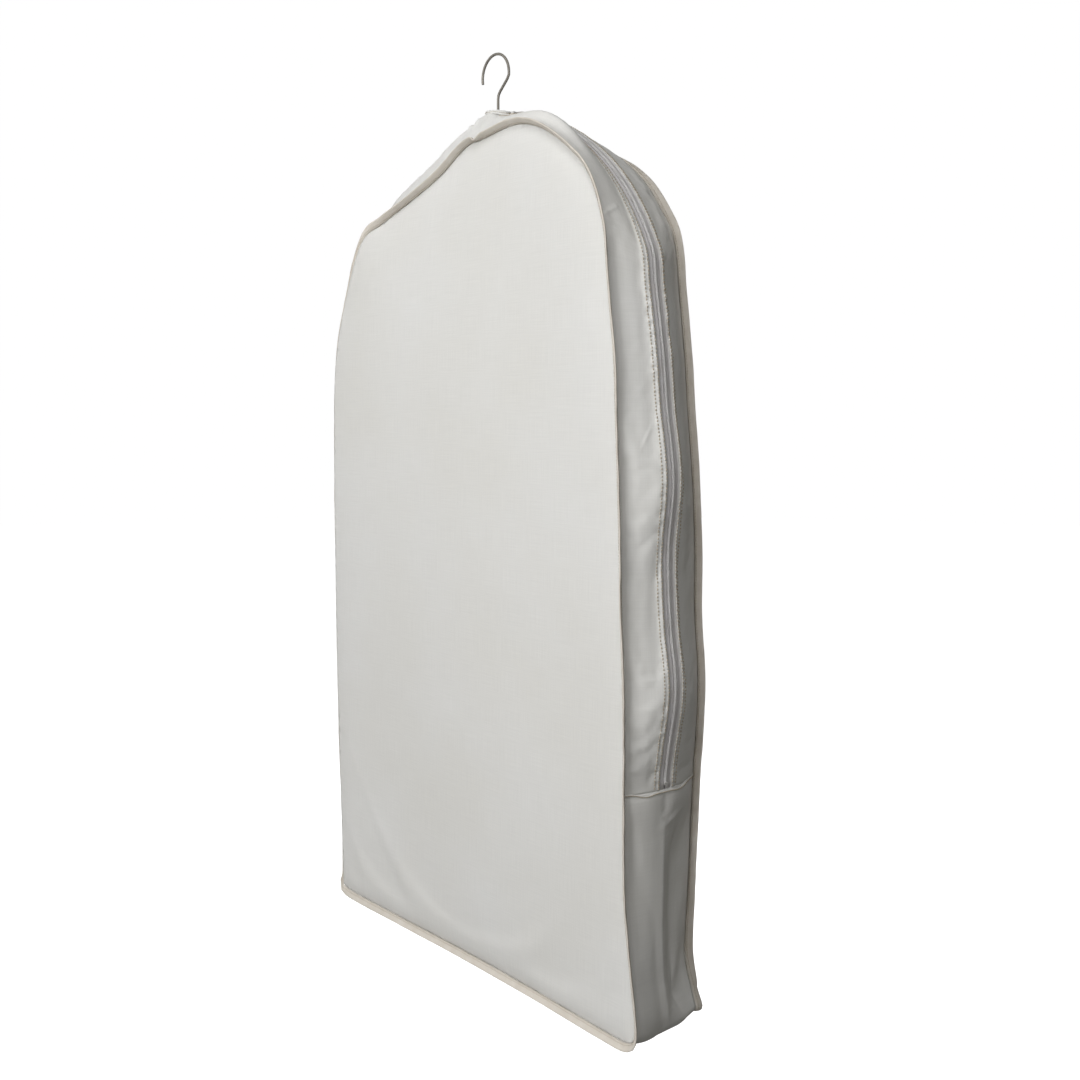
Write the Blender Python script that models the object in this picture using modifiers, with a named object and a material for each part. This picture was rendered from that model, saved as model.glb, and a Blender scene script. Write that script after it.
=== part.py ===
"""Gusseted cotton garment bag hanging on a wooden coat hanger.

The origin is where the hook bears on the rail. X runs across the bag, to the wearer's
left shoulder seen from the front, -Y is the front and Z is up. Outlines are given as
heights above the bag's bottom edge, and level() turns them into Z.
"""
import math

import bmesh
import bpy
from mathutils import Matrix, Vector

# Driving dimensions, in metres
HANG_DROP = 1.1935          # rail contact down to the bag's bottom edge
CLOTH = 0.0008              # thickness of the canvas
GAP = 0.0003                # clearance between touching pieces
SEAM_GAP = 0.0010           # from the seam line to the edge of each cloth piece
HALF_GUSSET = 0.0635        # half of the 5 inch gusset

BINDING_WIDTH = 0.011       # how far the bound seam stands out
BINDING_HALF = 0.0012       # half of its thickness
BINDING_ROOT = 0.0007       # from the seam line to the root of the binding
BINDING_SHOULDER = 0.003    # where it reaches its full thickness

ZIP_CENTRE_X = 0.002        # centre of the arc that the zip follows over the shoulder
ZIP_CENTRE_HEIGHT = 0.800
ZIP_RADIUS = 0.312
ZIP_PLANE_Y = -0.0065       # the zip's arc lies this far in front of the hanger's middle
ZIP_START_DEG = 5.0         # angles from straight up, where the zip begins and the slider rests
SLIDER_DEG = 7.3
ZIP_END_DEG = 66.0          # and where the arc ends, above the straighter run down the side
STRIP_EDGE = 0.009          # from the zip's centre line to the edge of each zip strip
FLAT_HALF = 0.013           # the gusset lies flat this far either side of its middle
TAPE_OUTER = 0.0125
TAPE_INNER = 0.0012
TAPE_SINK = 0.0013          # how far the tape lies under the strips
TAPE_THICKNESS = 0.0006
COIL_INNER = 0.0010
COIL_OUTER = 0.0032
COIL_HEIGHT = 0.0014
TOP_STOP_DEG = 5.35
STOP_LENGTH = 0.0025
STOP_HEIGHT = 0.0010

HOOK_WIRE = 0.00175         # radius of the hook's wire
HOOK_RADIUS = 0.02725       # radius of the bowl's centre line
HOOK_CENTRE_X = -0.005
SHANK_FOOT = 1.078
FERRULE_RADIUS = 0.005
FERRULE_BASE = 1.1075
FERRULE_TOP = 1.1165

HANGER_HALF = 0.0055        # half of the wood's thickness
HANGER_SPAN = 0.212         # from the hook's axis to the tip of each arm
HANGER_GAP = 0.0045         # from the cloth down to the arms
ARM_DEPTH = 0.026
ARM_SHIFT = 0.018              # the arms fall away sooner than the arc of the right shoulder

SWELL = 0.06                # how far the slack gusset stands out, as a share of its half width
PUFF_SWELL = 0.52           # and in front of the zip at the fullest place of the shoulder
PUFF_ROW = 1.65             # station of that place, and how many stations it fades over
PUFF_ROWS = 1.3
TIGHT_ROW = 32.5            # middle of the stretch over the other shoulder that is pulled flat
TIGHT_ROWS = 2.4
ARC_END_ROW = 5             # station where the zip's arc ends
CROSS_SEAM_ROW = 14         # station of the cross seam that closes the zip
BOTTOM_STOP_ROW = 13.85     # and of the stop just above it

NECK_HALF_X = 0.019         # the oval opening for the hook
NECK_HALF_Y = 0.0125
NECK_HEM = 0.003

STEP = 0.042                # length of a face along the seams
FINE_STEP = 0.022           # and over the arc of the zip


def level(height):
    return height - HANG_DROP


def at(x, y, height):
    return Vector((x, y, level(height)))


def arc_point(degrees):
    """Point on the zip's arc, measured from straight up towards +X."""
    angle = math.radians(degrees)
    return at(ZIP_CENTRE_X + ZIP_RADIUS * math.sin(angle), ZIP_PLANE_Y,
              ZIP_CENTRE_HEIGHT + ZIP_RADIUS * math.cos(angle))


# Stations round the bag, clockwise seen from the front. Each has a point of the front seam,
# one on the middle of the gusset, one of the rear seam, and how far the front and the rear
# bound seams lean out of their panel's plane, in degrees (negative lies back on the gusset).
def stations():
    front = -HALF_GUSSET
    rear = HALF_GUSSET
    # Height, and x of the front seam, the middle and the rear seam. The slack gusset stands out
    # along the zip, more in some places than in others.
    right_side = [
        (0.745, 0.2892, 0.3135, 0.2785, 15), (0.663, 0.2937, 0.3250, 0.2875, 15),
        (0.580, 0.2973, 0.3180, 0.2930, 15), (0.500, 0.3007, 0.3220, 0.2945, 15),
        (0.420, 0.3045, 0.3320, 0.3010, 15), (0.345, 0.3065, 0.3210, 0.2985, 15),
        (0.300, 0.3060, 0.3165, 0.2948, 20), (0.180, 0.3085, 0.3160, 0.2904, 10),
        (0.075, 0.3225, 0.3205, 0.2850, 35)]
    left_side = [
        (-0.306, 0.100), (-0.311, 0.300), (-0.3125, 0.500), (-0.310, 0.690), (-0.3035, 0.800)]
    rows = [
        (at(0.035, -0.044, 1.0795), arc_point(ZIP_START_DEG), at(0.030, 0.049, 1.064), 55, 60),
        (at(0.095, -0.0485, 1.0842), arc_point(17), at(0.095, 0.058, 1.070), 54, 80),
        (at(0.150, -0.055, 1.0715), arc_point(28.5), at(0.150, rear, 1.0535), 54, 95),
        (at(0.205, -0.061, 1.0412), arc_point(41), at(0.1985, rear, 1.0205), 51, 75),
        (at(0.244, front, 1.0055), arc_point(53.5), at(0.2330, rear, 0.978), 47, 45),
        (at(0.267, front, 0.950), arc_point(ZIP_END_DEG), at(0.2550, rear, 0.937), 43, 18),
        (at(0.2755, front, 0.885), at(0.2950, ZIP_PLANE_Y, 0.880), at(0.2636, rear, 0.876), 42, 15),
        (at(0.2855, front, 0.8035), at(0.3072, ZIP_PLANE_Y, 0.8035), at(0.2739, rear, 0.797), 43, 15)]
    for height, front_x, middle_x, rear_x, rear_lean in right_side:
        rows.append((at(front_x, front, height), at(middle_x, ZIP_PLANE_Y, height),
                     at(rear_x, rear, height), 44, rear_lean))
    rows += [
        (at(0.3285, front, 0.030), at(0.3235, 0, 0.020), at(0.2985, rear, 0.028), 44, 100),
        (at(0.3200, front, 0.0085), at(0.3080, 0, -0.0010), at(0.3040, rear, 0.0030), 45, 80),
        (at(0.2700, front, 0.0070), at(0.270, 0, -0.0010), at(0.2700, rear, 0.0045), 45, 60)]
    for x, height in ((0.155, 0.0115), (0.0, 0.0145), (-0.155, 0.0145)):
        rows.append((at(x, front, height), at(x, 0, height - 0.0035), at(x, rear, height), 45, 45))
    rows += [
        (at(-0.290, front, 0.016), at(-0.290, 0, 0.012), at(-0.290, rear, 0.016), 30, 45),
        (at(-0.3035, front, 0.032), at(-0.303, 0, 0.028), at(-0.303, rear, 0.031), -20, 45)]
    for x, height in left_side:
        rows.append((at(x, front, height), at(x - 0.001, 0, height), at(x, rear, height), -45, 45))
    rows += [
        (at(-0.2810, -0.0625, 0.880), at(-0.295, 0, 0.883), at(-0.290, rear, 0.880), -32, 45),
        (at(-0.2345, -0.0615, 0.970), at(-0.261, 0, 0.978), at(-0.257, 0.060, 0.960), -18, 45),
        (at(-0.188, -0.052, 0.9965), at(-0.222, 0, 1.0310), at(-0.205, 0.050, 1.004), 50, 45),
        (at(-0.128, -0.046, 1.0208), at(-0.150, 0, 1.0635), at(-0.140, 0.045, 1.032), 58, 45),
        (at(-0.068, -0.042, 1.0455), at(-0.075, 0, 1.0975), at(-0.072, 0.043, 1.054), 60, 45),
        (at(-0.013, -0.0405, 1.0750), at(-0.018, 0, 1.1195), at(-0.014, 0.046, 1.066), 60, 45)]
    return rows


def catmull(before, start, end, after, t):
    """Point of a Catmull-Rom curve between start and end."""
    return 0.5 * ((2 * start) + (end - before) * t
                  + (2 * before - 5 * start + 4 * end - after) * t * t
                  + (3 * start - before - 3 * end + after) * t ** 3)


class Sample:
    """One cross section of the bag: both seams, the middle and the leans of the bindings."""

    def __init__(self, front, middle, rear, front_lean, rear_lean, row):
        self.front = front
        self.middle = middle
        self.rear = rear
        self.front_lean = front_lean
        self.rear_lean = rear_lean
        self.row = row


def sample_stations():
    """Smooth closed curves through the stations, cut into even steps."""
    rows = stations()
    count = len(rows)
    samples = []
    for index in range(count):
        around = [rows[(index + shift) % count] for shift in (-1, 0, 1, 2)]
        length = max((around[2][part] - around[1][part]).length for part in (0, 1, 2))
        on_arc = index < ARC_END_ROW
        steps = max(1, round(length / (FINE_STEP if on_arc else STEP)))
        for step in range(steps):
            t = step / steps
            front, middle, rear = (catmull(*[row[part] for row in around], t) for part in (0, 1, 2))
            if on_arc:
                middle = arc_point(arc_degrees(middle))
            leans = [around[1][part] * (1 - t) + around[2][part] * t for part in (3, 4)]
            samples.append(Sample(front, middle, rear, *leans, index + t))
    return samples


def arc_degrees(point):
    return math.degrees(math.atan2(point.x - ZIP_CENTRE_X, point.z - level(ZIP_CENTRE_HEIGHT)))


def square_to(tangent):
    """Unit vector square to the gusset's middle line, pointing out of the bag."""
    return Vector((-tangent.z, 0, tangent.x)).normalized()


def link(obj, collection, colour, roughness, metallic=0.0):
    """Give a part its material and put it in a collection."""
    material = bpy.data.materials.new(obj.name)
    material.use_nodes = True
    shader = material.node_tree.nodes["Principled BSDF"]
    shader.inputs["Base Color"].default_value = (*colour, 1)
    shader.inputs["Roughness"].default_value = roughness
    shader.inputs["Metallic"].default_value = metallic
    obj.data.materials.clear()
    obj.data.materials.append(material)
    for owner in list(obj.users_collection):
        owner.objects.unlink(obj)
    collection.objects.link(obj)
    return obj


def mesh_object(name, bm):
    mesh = bpy.data.meshes.new(name)
    bmesh.ops.recalc_face_normals(bm, faces=bm.faces)
    bm.to_mesh(mesh)
    bm.free()
    return bpy.data.objects.new(name, mesh)


def loft(name, rows, close_rows=False, close_sections=False, cap=False):
    """Surface through rows of points. Rows may close on the first row, sections on themselves."""
    bm = bmesh.new()
    grid = [[bm.verts.new(point) for point in row] for row in rows]
    row_pairs = len(grid) if close_rows else len(grid) - 1
    width = len(grid[0])
    column_pairs = width if close_sections else width - 1
    for i in range(row_pairs):
        following = grid[(i + 1) % len(grid)]
        for j in range(column_pairs):
            k = (j + 1) % width
            bm.faces.new((grid[i][j], grid[i][k], following[k], following[j]))
    if cap:
        bm.faces.new(grid[0])
        bm.faces.new(grid[-1])
    return mesh_object(name, bm)


def thicken(obj, thickness=CLOTH):
    solidify = obj.modifiers.new("Cloth thickness", "SOLIDIFY")
    solidify.thickness = thickness
    solidify.offset = 0
    return obj


def panel(name, seam, centre):
    """Flat cloth panel inside a closed seam line, as rings that shrink to the centre."""
    bm = bmesh.new()
    rings = []
    for scale in (1.0, 0.84, 0.55):
        ring = []
        for point in seam:
            inner = centre + (point - centre) * scale
            inner -= (point - centre).normalized() * SEAM_GAP
            inner.y = centre.y + (point.y - centre.y) * scale ** 3
            ring.append(bm.verts.new(inner))
        rings.append(ring)
    for outer, inner in zip(rings, rings[1:]):
        for index in range(len(outer)):
            after = (index + 1) % len(outer)
            bm.faces.new((outer[index], outer[after], inner[after], inner[index]))
    middle = bm.verts.new(centre)
    last = rings[-1]
    for index in range(len(last)):
        bm.faces.new((last[index], last[(index + 1) % len(last)], middle))
    return thicken(mesh_object(name, bm))


def blend(samples, row):
    """Cross section at any place between two samples, by its row number."""
    after = next((i for i, sample in enumerate(samples) if sample.row > row), 0)
    before = samples[after - 1]
    following = samples[after]
    end = following.row if after else len(stations())
    t = (row - before.row) / (end - before.row)
    parts = [getattr(before, key) * (1 - t) + getattr(following, key) * t
             for key in ("front", "middle", "rear", "front_lean", "rear_lean")]
    return Sample(*parts, row)


def swell_share(row, side):
    """How far the gusset stands out at a station, in front of its middle (-1) or behind it (1)."""
    if side > 0:
        return SWELL
    from_puff = min(abs(row - PUFF_ROW), abs(row - len(stations()) - PUFF_ROW))
    puff = math.exp(-(from_puff / PUFF_ROWS) ** 2)
    tight = math.exp(-((row - TIGHT_ROW) / TIGHT_ROWS) ** 2)
    return SWELL * (1 - tight) + (PUFF_SWELL - SWELL) * puff


def half_section(sample, out, side):
    """Points from a seam to where the gusset lies flat, with the slack standing out between."""
    seam = sample.front if side < 0 else sample.rear
    fold = sample.middle + Vector((0, side * FLAT_HALF, 0)) - out * 0.0002
    start = seam + (fold - seam).normalized() * SEAM_GAP
    swell = swell_share(sample.row, side) * (fold - seam).length
    return [start.lerp(fold, t) + out * swell * 4 * t * (1 - t) for t in (0, 0.35, 0.7, 1)]


def gusset_main(samples):
    """The gusset from the cross seam round the bottom and up over the other shoulder to the zip."""
    start = CROSS_SEAM_ROW + 0.01
    end = len(stations()) - 0.02
    inside = [sample for sample in samples if start < sample.row < end]
    rows = []
    run = [blend(samples, start), *inside, blend(samples, end)]
    for index, sample in enumerate(run):
        out = square_to(run[min(index + 1, len(run) - 1)].middle - run[max(index - 1, 0)].middle)
        front = half_section(sample, out, -1)
        rear = half_section(sample, out, 1)
        rows.append(front + [sample.middle.copy()] + rear[::-1])
    return thicken(loft("gusset_main", rows))


def zip_out(sample):
    """Direction out of the bag on the zip: square to the arc, then easing level down the side."""
    if sample.row <= ARC_END_ROW:
        angle = arc_degrees(sample.middle)
    else:
        angle = min(90, ZIP_END_DEG + (90 - ZIP_END_DEG) * (sample.row - ARC_END_ROW) / 2)
    return Vector((math.sin(math.radians(angle)), 0, math.cos(math.radians(angle))))


def zip_sections(samples):
    """The middle line of the zip with the direction out of the bag, from neck to cross seam."""
    run = [sample for sample in samples if sample.row <= CROSS_SEAM_ROW]
    sections = []
    for sample in run:
        sections.append((sample, zip_out(sample)))
    return sections


def zip_strip(name, sections, side):
    """Cloth between a seam and the zip. side is -1 at the front and 1 at the rear."""
    rows = []
    for sample, out in sections:
        edge = sample.middle + Vector((0, side * STRIP_EDGE, 0))
        rows.append(half_section(sample, out, side) + [edge])
    return thicken(loft(name, rows))


def ribbon(name, sections, across, low, high):
    """Solid ribbon along the zip: across gives its two sides, low and high its faces."""
    rows = []
    for sample, out in sections:
        corners = []
        for offset, lift in ((across[0], low), (across[1], low), (across[1], high), (across[0], high)):
            corners.append(sample.middle + Vector((0, offset, 0)) + out * lift)
        rows.append(corners)
    return loft(name, rows, close_sections=True, cap=True)


def binding(name, samples, side):
    """Tape bound round the seam allowances, all round a panel. side is -1 at the front."""
    seam = [sample.front if side < 0 else sample.rear for sample in samples]
    leans = [sample.front_lean if side < 0 else sample.rear_lean for sample in samples]
    outline = ((BINDING_ROOT, 0.0001), (BINDING_SHOULDER, BINDING_HALF), (BINDING_WIDTH, BINDING_HALF),
               (BINDING_WIDTH, -BINDING_HALF), (BINDING_SHOULDER, -BINDING_HALF), (BINDING_ROOT, -0.0001))
    rows = []
    for index, point in enumerate(seam):
        tangent = (seam[(index + 1) % len(seam)] - seam[index - 1]).normalized()
        away = Vector((0, side, 0))
        outward = tangent.cross(away).normalized() * side
        lean = math.radians(leans[index])
        stand = outward * math.cos(lean) + away * math.sin(lean)
        thick = tangent.cross(stand).normalized()
        rows.append([point + stand * reach + thick * half for reach, half in outline])
    return loft(name, rows, close_rows=True, close_sections=True)


def cut(obj, cutter, guides):
    """Cut one object out of another, and keep the cutter as a wire guide."""
    cutter.hide_render = True
    cutter.display_type = "WIRE"
    for owner in list(cutter.users_collection):
        owner.objects.unlink(cutter)
    guides.objects.link(cutter)
    boolean = obj.modifiers.new("Cut " + cutter.name, "BOOLEAN")
    boolean.operation = "DIFFERENCE"
    boolean.object = cutter
    return obj


def cylinder(name, radius, depth, centre, vertices=24):
    bm = bmesh.new()
    bmesh.ops.create_cone(bm, cap_ends=True, segments=vertices, radius1=radius, radius2=radius, depth=depth)
    obj = mesh_object(name, bm)
    obj.location = centre
    bpy.context.scene.collection.objects.link(obj)
    return obj


def oval_points(half_x, half_y, count=16):
    return [(half_x * math.cos(2 * math.pi * i / count), half_y * math.sin(2 * math.pi * i / count))
            for i in range(count)]


def neck_cutter():
    """Oval column that opens the top of the gusset for the hook."""
    cutter = cylinder("neck_cutter", 1.0, 0.05, at(0, 0, 1.115), 16)
    cutter.data.transform(Matrix.Diagonal((NECK_HALF_X, NECK_HALF_Y, 1, 1)))
    return cutter


def neck_hem():
    """Folded hem standing round the oval opening."""
    rows = []
    for x, y in oval_points(1, 1):
        inner = Vector((x * (NECK_HALF_X - NECK_HEM - GAP), y * (NECK_HALF_Y - NECK_HEM - GAP), 0))
        outer = Vector((x * (NECK_HALF_X - GAP), y * (NECK_HALF_Y - GAP), 0))
        base = level(1.1165)
        top = level(1.1225)
        rows.append([inner + Vector((0, 0, base)), outer + Vector((0, 0, base)),
                     outer + Vector((0, 0, top)), inner + Vector((0, 0, top))])
    return loft("neck_hem", rows, close_rows=True, close_sections=True)


def hook_path():
    """Centre line of the hook: straight shank, a slanting bend and the round bowl."""
    centre = Vector((HOOK_CENTRE_X, 0, -HOOK_WIRE - HOOK_RADIUS + 2 * HOOK_WIRE))
    points = [at(0, 0, SHANK_FOOT), at(0, 0, 1.110), at(0, 0, 1.1385), at(0.0012, 0, 1.1435),
              at(0.0045, 0, 1.1475), at(0.0135, 0, 1.1555), at(0.0190, 0, 1.1605)]
    for degrees in range(-6, 197, 9):
        angle = math.radians(degrees)
        points.append(centre + HOOK_RADIUS * Vector((math.cos(angle), 0, math.sin(angle))))
    return points


def hanger_hook():
    curve = bpy.data.curves.new("hanger_hook", "CURVE")
    curve.dimensions = "3D"
    curve.bevel_depth = HOOK_WIRE
    curve.bevel_resolution = 3
    curve.use_fill_caps = True
    points = hook_path()
    spline = curve.splines.new("POLY")
    spline.points.add(len(points) - 1)
    for target, point in zip(spline.points, points):
        target.co = (*point, 1)
    return bpy.data.objects.new("hanger_hook", curve)


def turned(name, profile, centre, steps=24):
    """Ring or knob turned about Z from a profile of (radius, height)."""
    bm = bmesh.new()
    verts = [bm.verts.new((radius, 0, height)) for radius, height in profile]
    for start, end in zip(verts, verts[1:] + verts[:1]):
        bm.edges.new((start, end))
    mesh = bpy.data.meshes.new(name)
    bm.to_mesh(mesh)
    bm.free()
    obj = bpy.data.objects.new(name, mesh)
    obj.location = centre
    screw = obj.modifiers.new("Turn", "SCREW")
    screw.axis = "Z"
    screw.angle = math.tau
    screw.steps = steps
    screw.render_steps = steps
    screw.use_merge_vertices = True
    screw.merge_threshold = 0.00001
    return obj


def ferrule():
    """Metal collar pressed on the hanger's neck, with the hook turning in it."""
    height = FERRULE_TOP - FERRULE_BASE
    bore = HOOK_WIRE + GAP
    profile = [(FERRULE_RADIUS, height - 0.001), (FERRULE_RADIUS, 0), (bore, 0), (bore, height),
               (FERRULE_RADIUS - 0.001, height)]
    return turned("hook_ferrule", profile, at(0, 0, FERRULE_BASE))


def arm_top(x):
    """Height of the hanger's top edge, which follows the arc of the right shoulder."""
    reach = abs(x) + ARM_SHIFT
    return ZIP_CENTRE_HEIGHT + math.sqrt((ZIP_RADIUS - HANGER_GAP) ** 2 - reach ** 2)


def wooden_hanger(guides):
    """One piece wooden hanger: a flat outline with sloping arms, bored for the hook."""
    curve = bpy.data.curves.new("wooden_hanger", "CURVE")
    curve.dimensions = "2D"
    curve.fill_mode = "BOTH"
    curve.extrude = HANGER_HALF
    top = [HANGER_SPAN * i / 8 for i in range(-8, 9)]
    outline = [(x, arm_top(x)) for x in top]
    outline += [(HANGER_SPAN + 0.004, arm_top(HANGER_SPAN) - 0.012),
                (HANGER_SPAN - 0.004, arm_top(HANGER_SPAN) - ARM_DEPTH)]
    outline += [(x, arm_top(x) - ARM_DEPTH - 0.012 * (1 - abs(x) / HANGER_SPAN)) for x in top[-2:0:-1]]
    outline += [(-HANGER_SPAN + 0.004, arm_top(HANGER_SPAN) - ARM_DEPTH),
                (-HANGER_SPAN - 0.004, arm_top(HANGER_SPAN) - 0.012)]
    spline = curve.splines.new("POLY")
    spline.points.add(len(outline) - 1)
    for target, (x, height) in zip(spline.points, outline):
        target.co = (x, level(min(height, FERRULE_BASE - GAP)), 0, 1)
    spline.use_cyclic_u = True
    flat = bpy.data.objects.new("hanger outline", curve)
    flat.rotation_euler.x = math.radians(90)
    bpy.context.scene.collection.objects.link(flat)
    bpy.context.view_layer.update()
    evaluated = flat.evaluated_get(bpy.context.evaluated_depsgraph_get())
    mesh = bpy.data.meshes.new_from_object(evaluated)
    mesh.name = "wooden_hanger"
    bm = bmesh.new()
    bm.from_mesh(mesh)
    bmesh.ops.remove_doubles(bm, verts=bm.verts, dist=0.00001)
    bmesh.ops.dissolve_limit(bm, angle_limit=0.001, verts=bm.verts, edges=bm.edges)
    bm.to_mesh(mesh)
    bm.free()
    hanger = bpy.data.objects.new("wooden_hanger", mesh)
    hanger.matrix_world = flat.matrix_world
    bpy.data.objects.remove(flat)
    bevel = hanger.modifiers.new("Rounded edges", "BEVEL")
    bevel.width = 0.0022
    bevel.segments = 2
    bevel.limit_method = "ANGLE"
    bevel.angle_limit = math.radians(60)
    bore = cylinder("hook_bore_cutter", HOOK_WIRE + GAP, 0.060, at(0, 0, 1.105), 16)
    return cut(hanger, bore, guides)


def box(name, size, centre):
    bm = bmesh.new()
    bmesh.ops.create_cube(bm, size=1)
    bmesh.ops.scale(bm, verts=bm.verts, vec=size)
    bmesh.ops.translate(bm, verts=bm.verts, vec=centre)
    return mesh_object(name, bm)


def union(base, others, guides):
    for other in others:
        boolean = base.modifiers.new("Join " + other.name, "BOOLEAN")
        boolean.operation = "UNION"
        boolean.object = other
        other.hide_render = True
        other.display_type = "WIRE"
        guides.objects.link(other)
    return base


# The slider is drawn flat, with X along the zip, Z out of the bag and its middle at 0.
SLIDER_LENGTH = 0.014
SLIDER_WIDTH = 0.0095
PLATE = 0.0012
PLATE_RISE = COIL_HEIGHT - TAPE_SINK + 0.0010
PLATE_SINK = -TAPE_SINK - TAPE_THICKNESS - 0.0010
PIVOT_RISE = PLATE_RISE + PLATE + 0.0018
PIN_RADIUS = 0.0006


def slider_matrix():
    """Places the flat slider on the arc, tilted to the slope of the zip there."""
    return Matrix.Translation(arc_point(SLIDER_DEG)) @ Matrix.Rotation(math.radians(SLIDER_DEG), 4, "Y")


def zip_slider(guides):
    """Top plate, bottom plate and post in one casting, with the two lugs of the pull's pivot."""
    top = box("zip_slider", (SLIDER_LENGTH, SLIDER_WIDTH, PLATE), (0, 0, PLATE_RISE + PLATE / 2))
    bottom = box("slider_base", (SLIDER_LENGTH, SLIDER_WIDTH, PLATE), (0, 0, PLATE_SINK - PLATE / 2))
    post_height = PLATE_RISE - PLATE_SINK + PLATE
    post = box("slider_post", (0.004, 0.0012, post_height),
               (-0.004, 0, (PLATE_RISE + PLATE_SINK) / 2))
    lugs = []
    for side in (-1, 1):
        lugs.append(box("slider_lug", (0.005, 0.0010, 0.0034),
                        (-0.001, side * 0.0034, PLATE_RISE + PLATE + 0.0014)))
    pin = cylinder("pull_pivot", PIN_RADIUS, 0.0070, Vector((0, 0, 0)), 10)
    pin.data.transform(Matrix.Rotation(math.radians(90), 4, "X"))
    pin.data.transform(Matrix.Translation((-0.001, 0, PIVOT_RISE)))
    pin.users_collection[0].objects.unlink(pin)
    pieces = [bottom, post, *lugs, pin]
    for piece in [top, *pieces]:
        piece.matrix_world = slider_matrix()
    return union(top, pieces, guides)


def zip_pull():
    """Pull tab with an eye round the pivot, lying along the zip down the slope."""
    eye_outer = PIN_RADIUS + GAP + 0.0008
    eye_inner = PIN_RADIUS + GAP
    half_width = 0.0022
    count = 12
    rows = []
    for i in range(count):
        angle = 2 * math.pi * i / count
        spoke = Vector((math.cos(angle), 0, math.sin(angle)))
        rows.append([spoke * radius + Vector((0, y, 0)) for radius, y in
                     ((eye_inner, -half_width), (eye_outer, -half_width),
                      (eye_outer, half_width), (eye_inner, half_width))])
    eye = loft("zip_pull", rows, close_rows=True, close_sections=True)
    tab_start = eye_inner + 0.0004
    tab = box("pull_tab", (0.018, 2 * half_width + 0.0008, 0.0010), (tab_start + 0.009, 0, 0))
    for piece in (eye, tab):
        piece.matrix_world = slider_matrix() @ Matrix.Translation((-0.001, 0, PIVOT_RISE))
    return eye, tab


def zip_stop(name, centre, out, sides):
    """Crimped metal stop over a coil, lying between two distances from the zip's centre line."""
    width = sides[1] - sides[0]
    lift = GAP - TAPE_SINK + COIL_HEIGHT + GAP + STOP_HEIGHT / 2
    stop = box(name, (STOP_LENGTH, width, STOP_HEIGHT), (0, (sides[0] + sides[1]) / 2, lift))
    along = Vector((0, 1, 0)).cross(out)
    turn = Matrix((along, Vector((0, 1, 0)), out)).transposed().to_4x4()
    stop.matrix_world = Matrix.Translation(centre) @ turn
    return stop


def build():
    for obj in list(bpy.data.objects):
        bpy.data.objects.remove(obj, do_unlink=True)
    bag = bpy.data.collections.new("garment_bag")
    guides = bpy.data.collections.new("cutters")
    bpy.context.scene.collection.children.link(bag)
    bpy.context.scene.collection.children.link(guides)

    canvas = (0.78, 0.77, 0.74)
    tape = (0.68, 0.62, 0.53)
    zip_cloth = (0.60, 0.58, 0.60)
    coil = (0.80, 0.79, 0.78)
    nickel = (0.20, 0.19, 0.17)
    wood = (0.45, 0.30, 0.18)

    samples = sample_stations()
    sections = zip_sections(samples)
    front_seam = [sample.front for sample in samples]
    rear_seam = [sample.rear for sample in samples]
    front_centre = at(0, -HALF_GUSSET - 0.002, 0.55)
    rear_centre = at(0, HALF_GUSSET + 0.002, 0.55)

    link(panel("front_panel", front_seam, front_centre), bag, canvas, 0.9)
    link(panel("rear_panel", rear_seam, rear_centre), bag, canvas, 0.9)
    link(cut(gusset_main(samples), neck_cutter(), guides), bag, canvas, 0.9)
    link(neck_hem(), bag, tape, 0.9)
    link(zip_strip("zip_strip_front", sections, -1), bag, canvas, 0.9)
    link(zip_strip("zip_strip_rear", sections, 1), bag, canvas, 0.9)
    link(binding("front_binding", samples, -1), bag, tape, 0.9)
    link(binding("rear_binding", samples, 1), bag, tape, 0.9)

    for name, side in (("front", -1), ("rear", 1)):
        tape_sides = (side * TAPE_INNER, side * TAPE_OUTER)
        coil_sides = (side * COIL_INNER, side * COIL_OUTER)
        low = -TAPE_SINK - TAPE_THICKNESS
        link(ribbon("zip_tape_" + name, sections, tape_sides, low, -TAPE_SINK), bag, zip_cloth, 0.85)
        coil_low = GAP - TAPE_SINK
        link(ribbon("zip_coil_" + name, sections, coil_sides, coil_low, coil_low + COIL_HEIGHT),
             bag, coil, 0.4)

    top_angle = math.radians(TOP_STOP_DEG)
    top_out = Vector((math.sin(top_angle), 0, math.cos(top_angle)))
    for name, side in (("front", -1), ("rear", 1)):
        sides = sorted((side * COIL_INNER, side * COIL_OUTER))
        link(zip_stop("zip_top_stop_" + name, arc_point(TOP_STOP_DEG), top_out, sides),
             bag, nickel, 0.35, 1.0)
    foot = blend(samples, BOTTOM_STOP_ROW).middle
    link(zip_stop("zip_bottom_stop", foot, Vector((1, 0, 0)), (-COIL_OUTER, COIL_OUTER)),
         bag, nickel, 0.35, 1.0)

    link(zip_slider(guides), bag, nickel, 0.35, 1.0)
    eye, tab = zip_pull()
    link(union(eye, [tab], guides), bag, nickel, 0.35, 1.0)
    link(hanger_hook(), bag, nickel, 0.35, 1.0)
    link(ferrule(), bag, nickel, 0.35, 1.0)
    link(wooden_hanger(guides), bag, wood, 0.5)


build()
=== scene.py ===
import math

import bmesh
import bpy
import numpy as np
from mathutils import Matrix, Vector, geometry, noise
from mathutils.bvhtree import BVHTree


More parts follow.
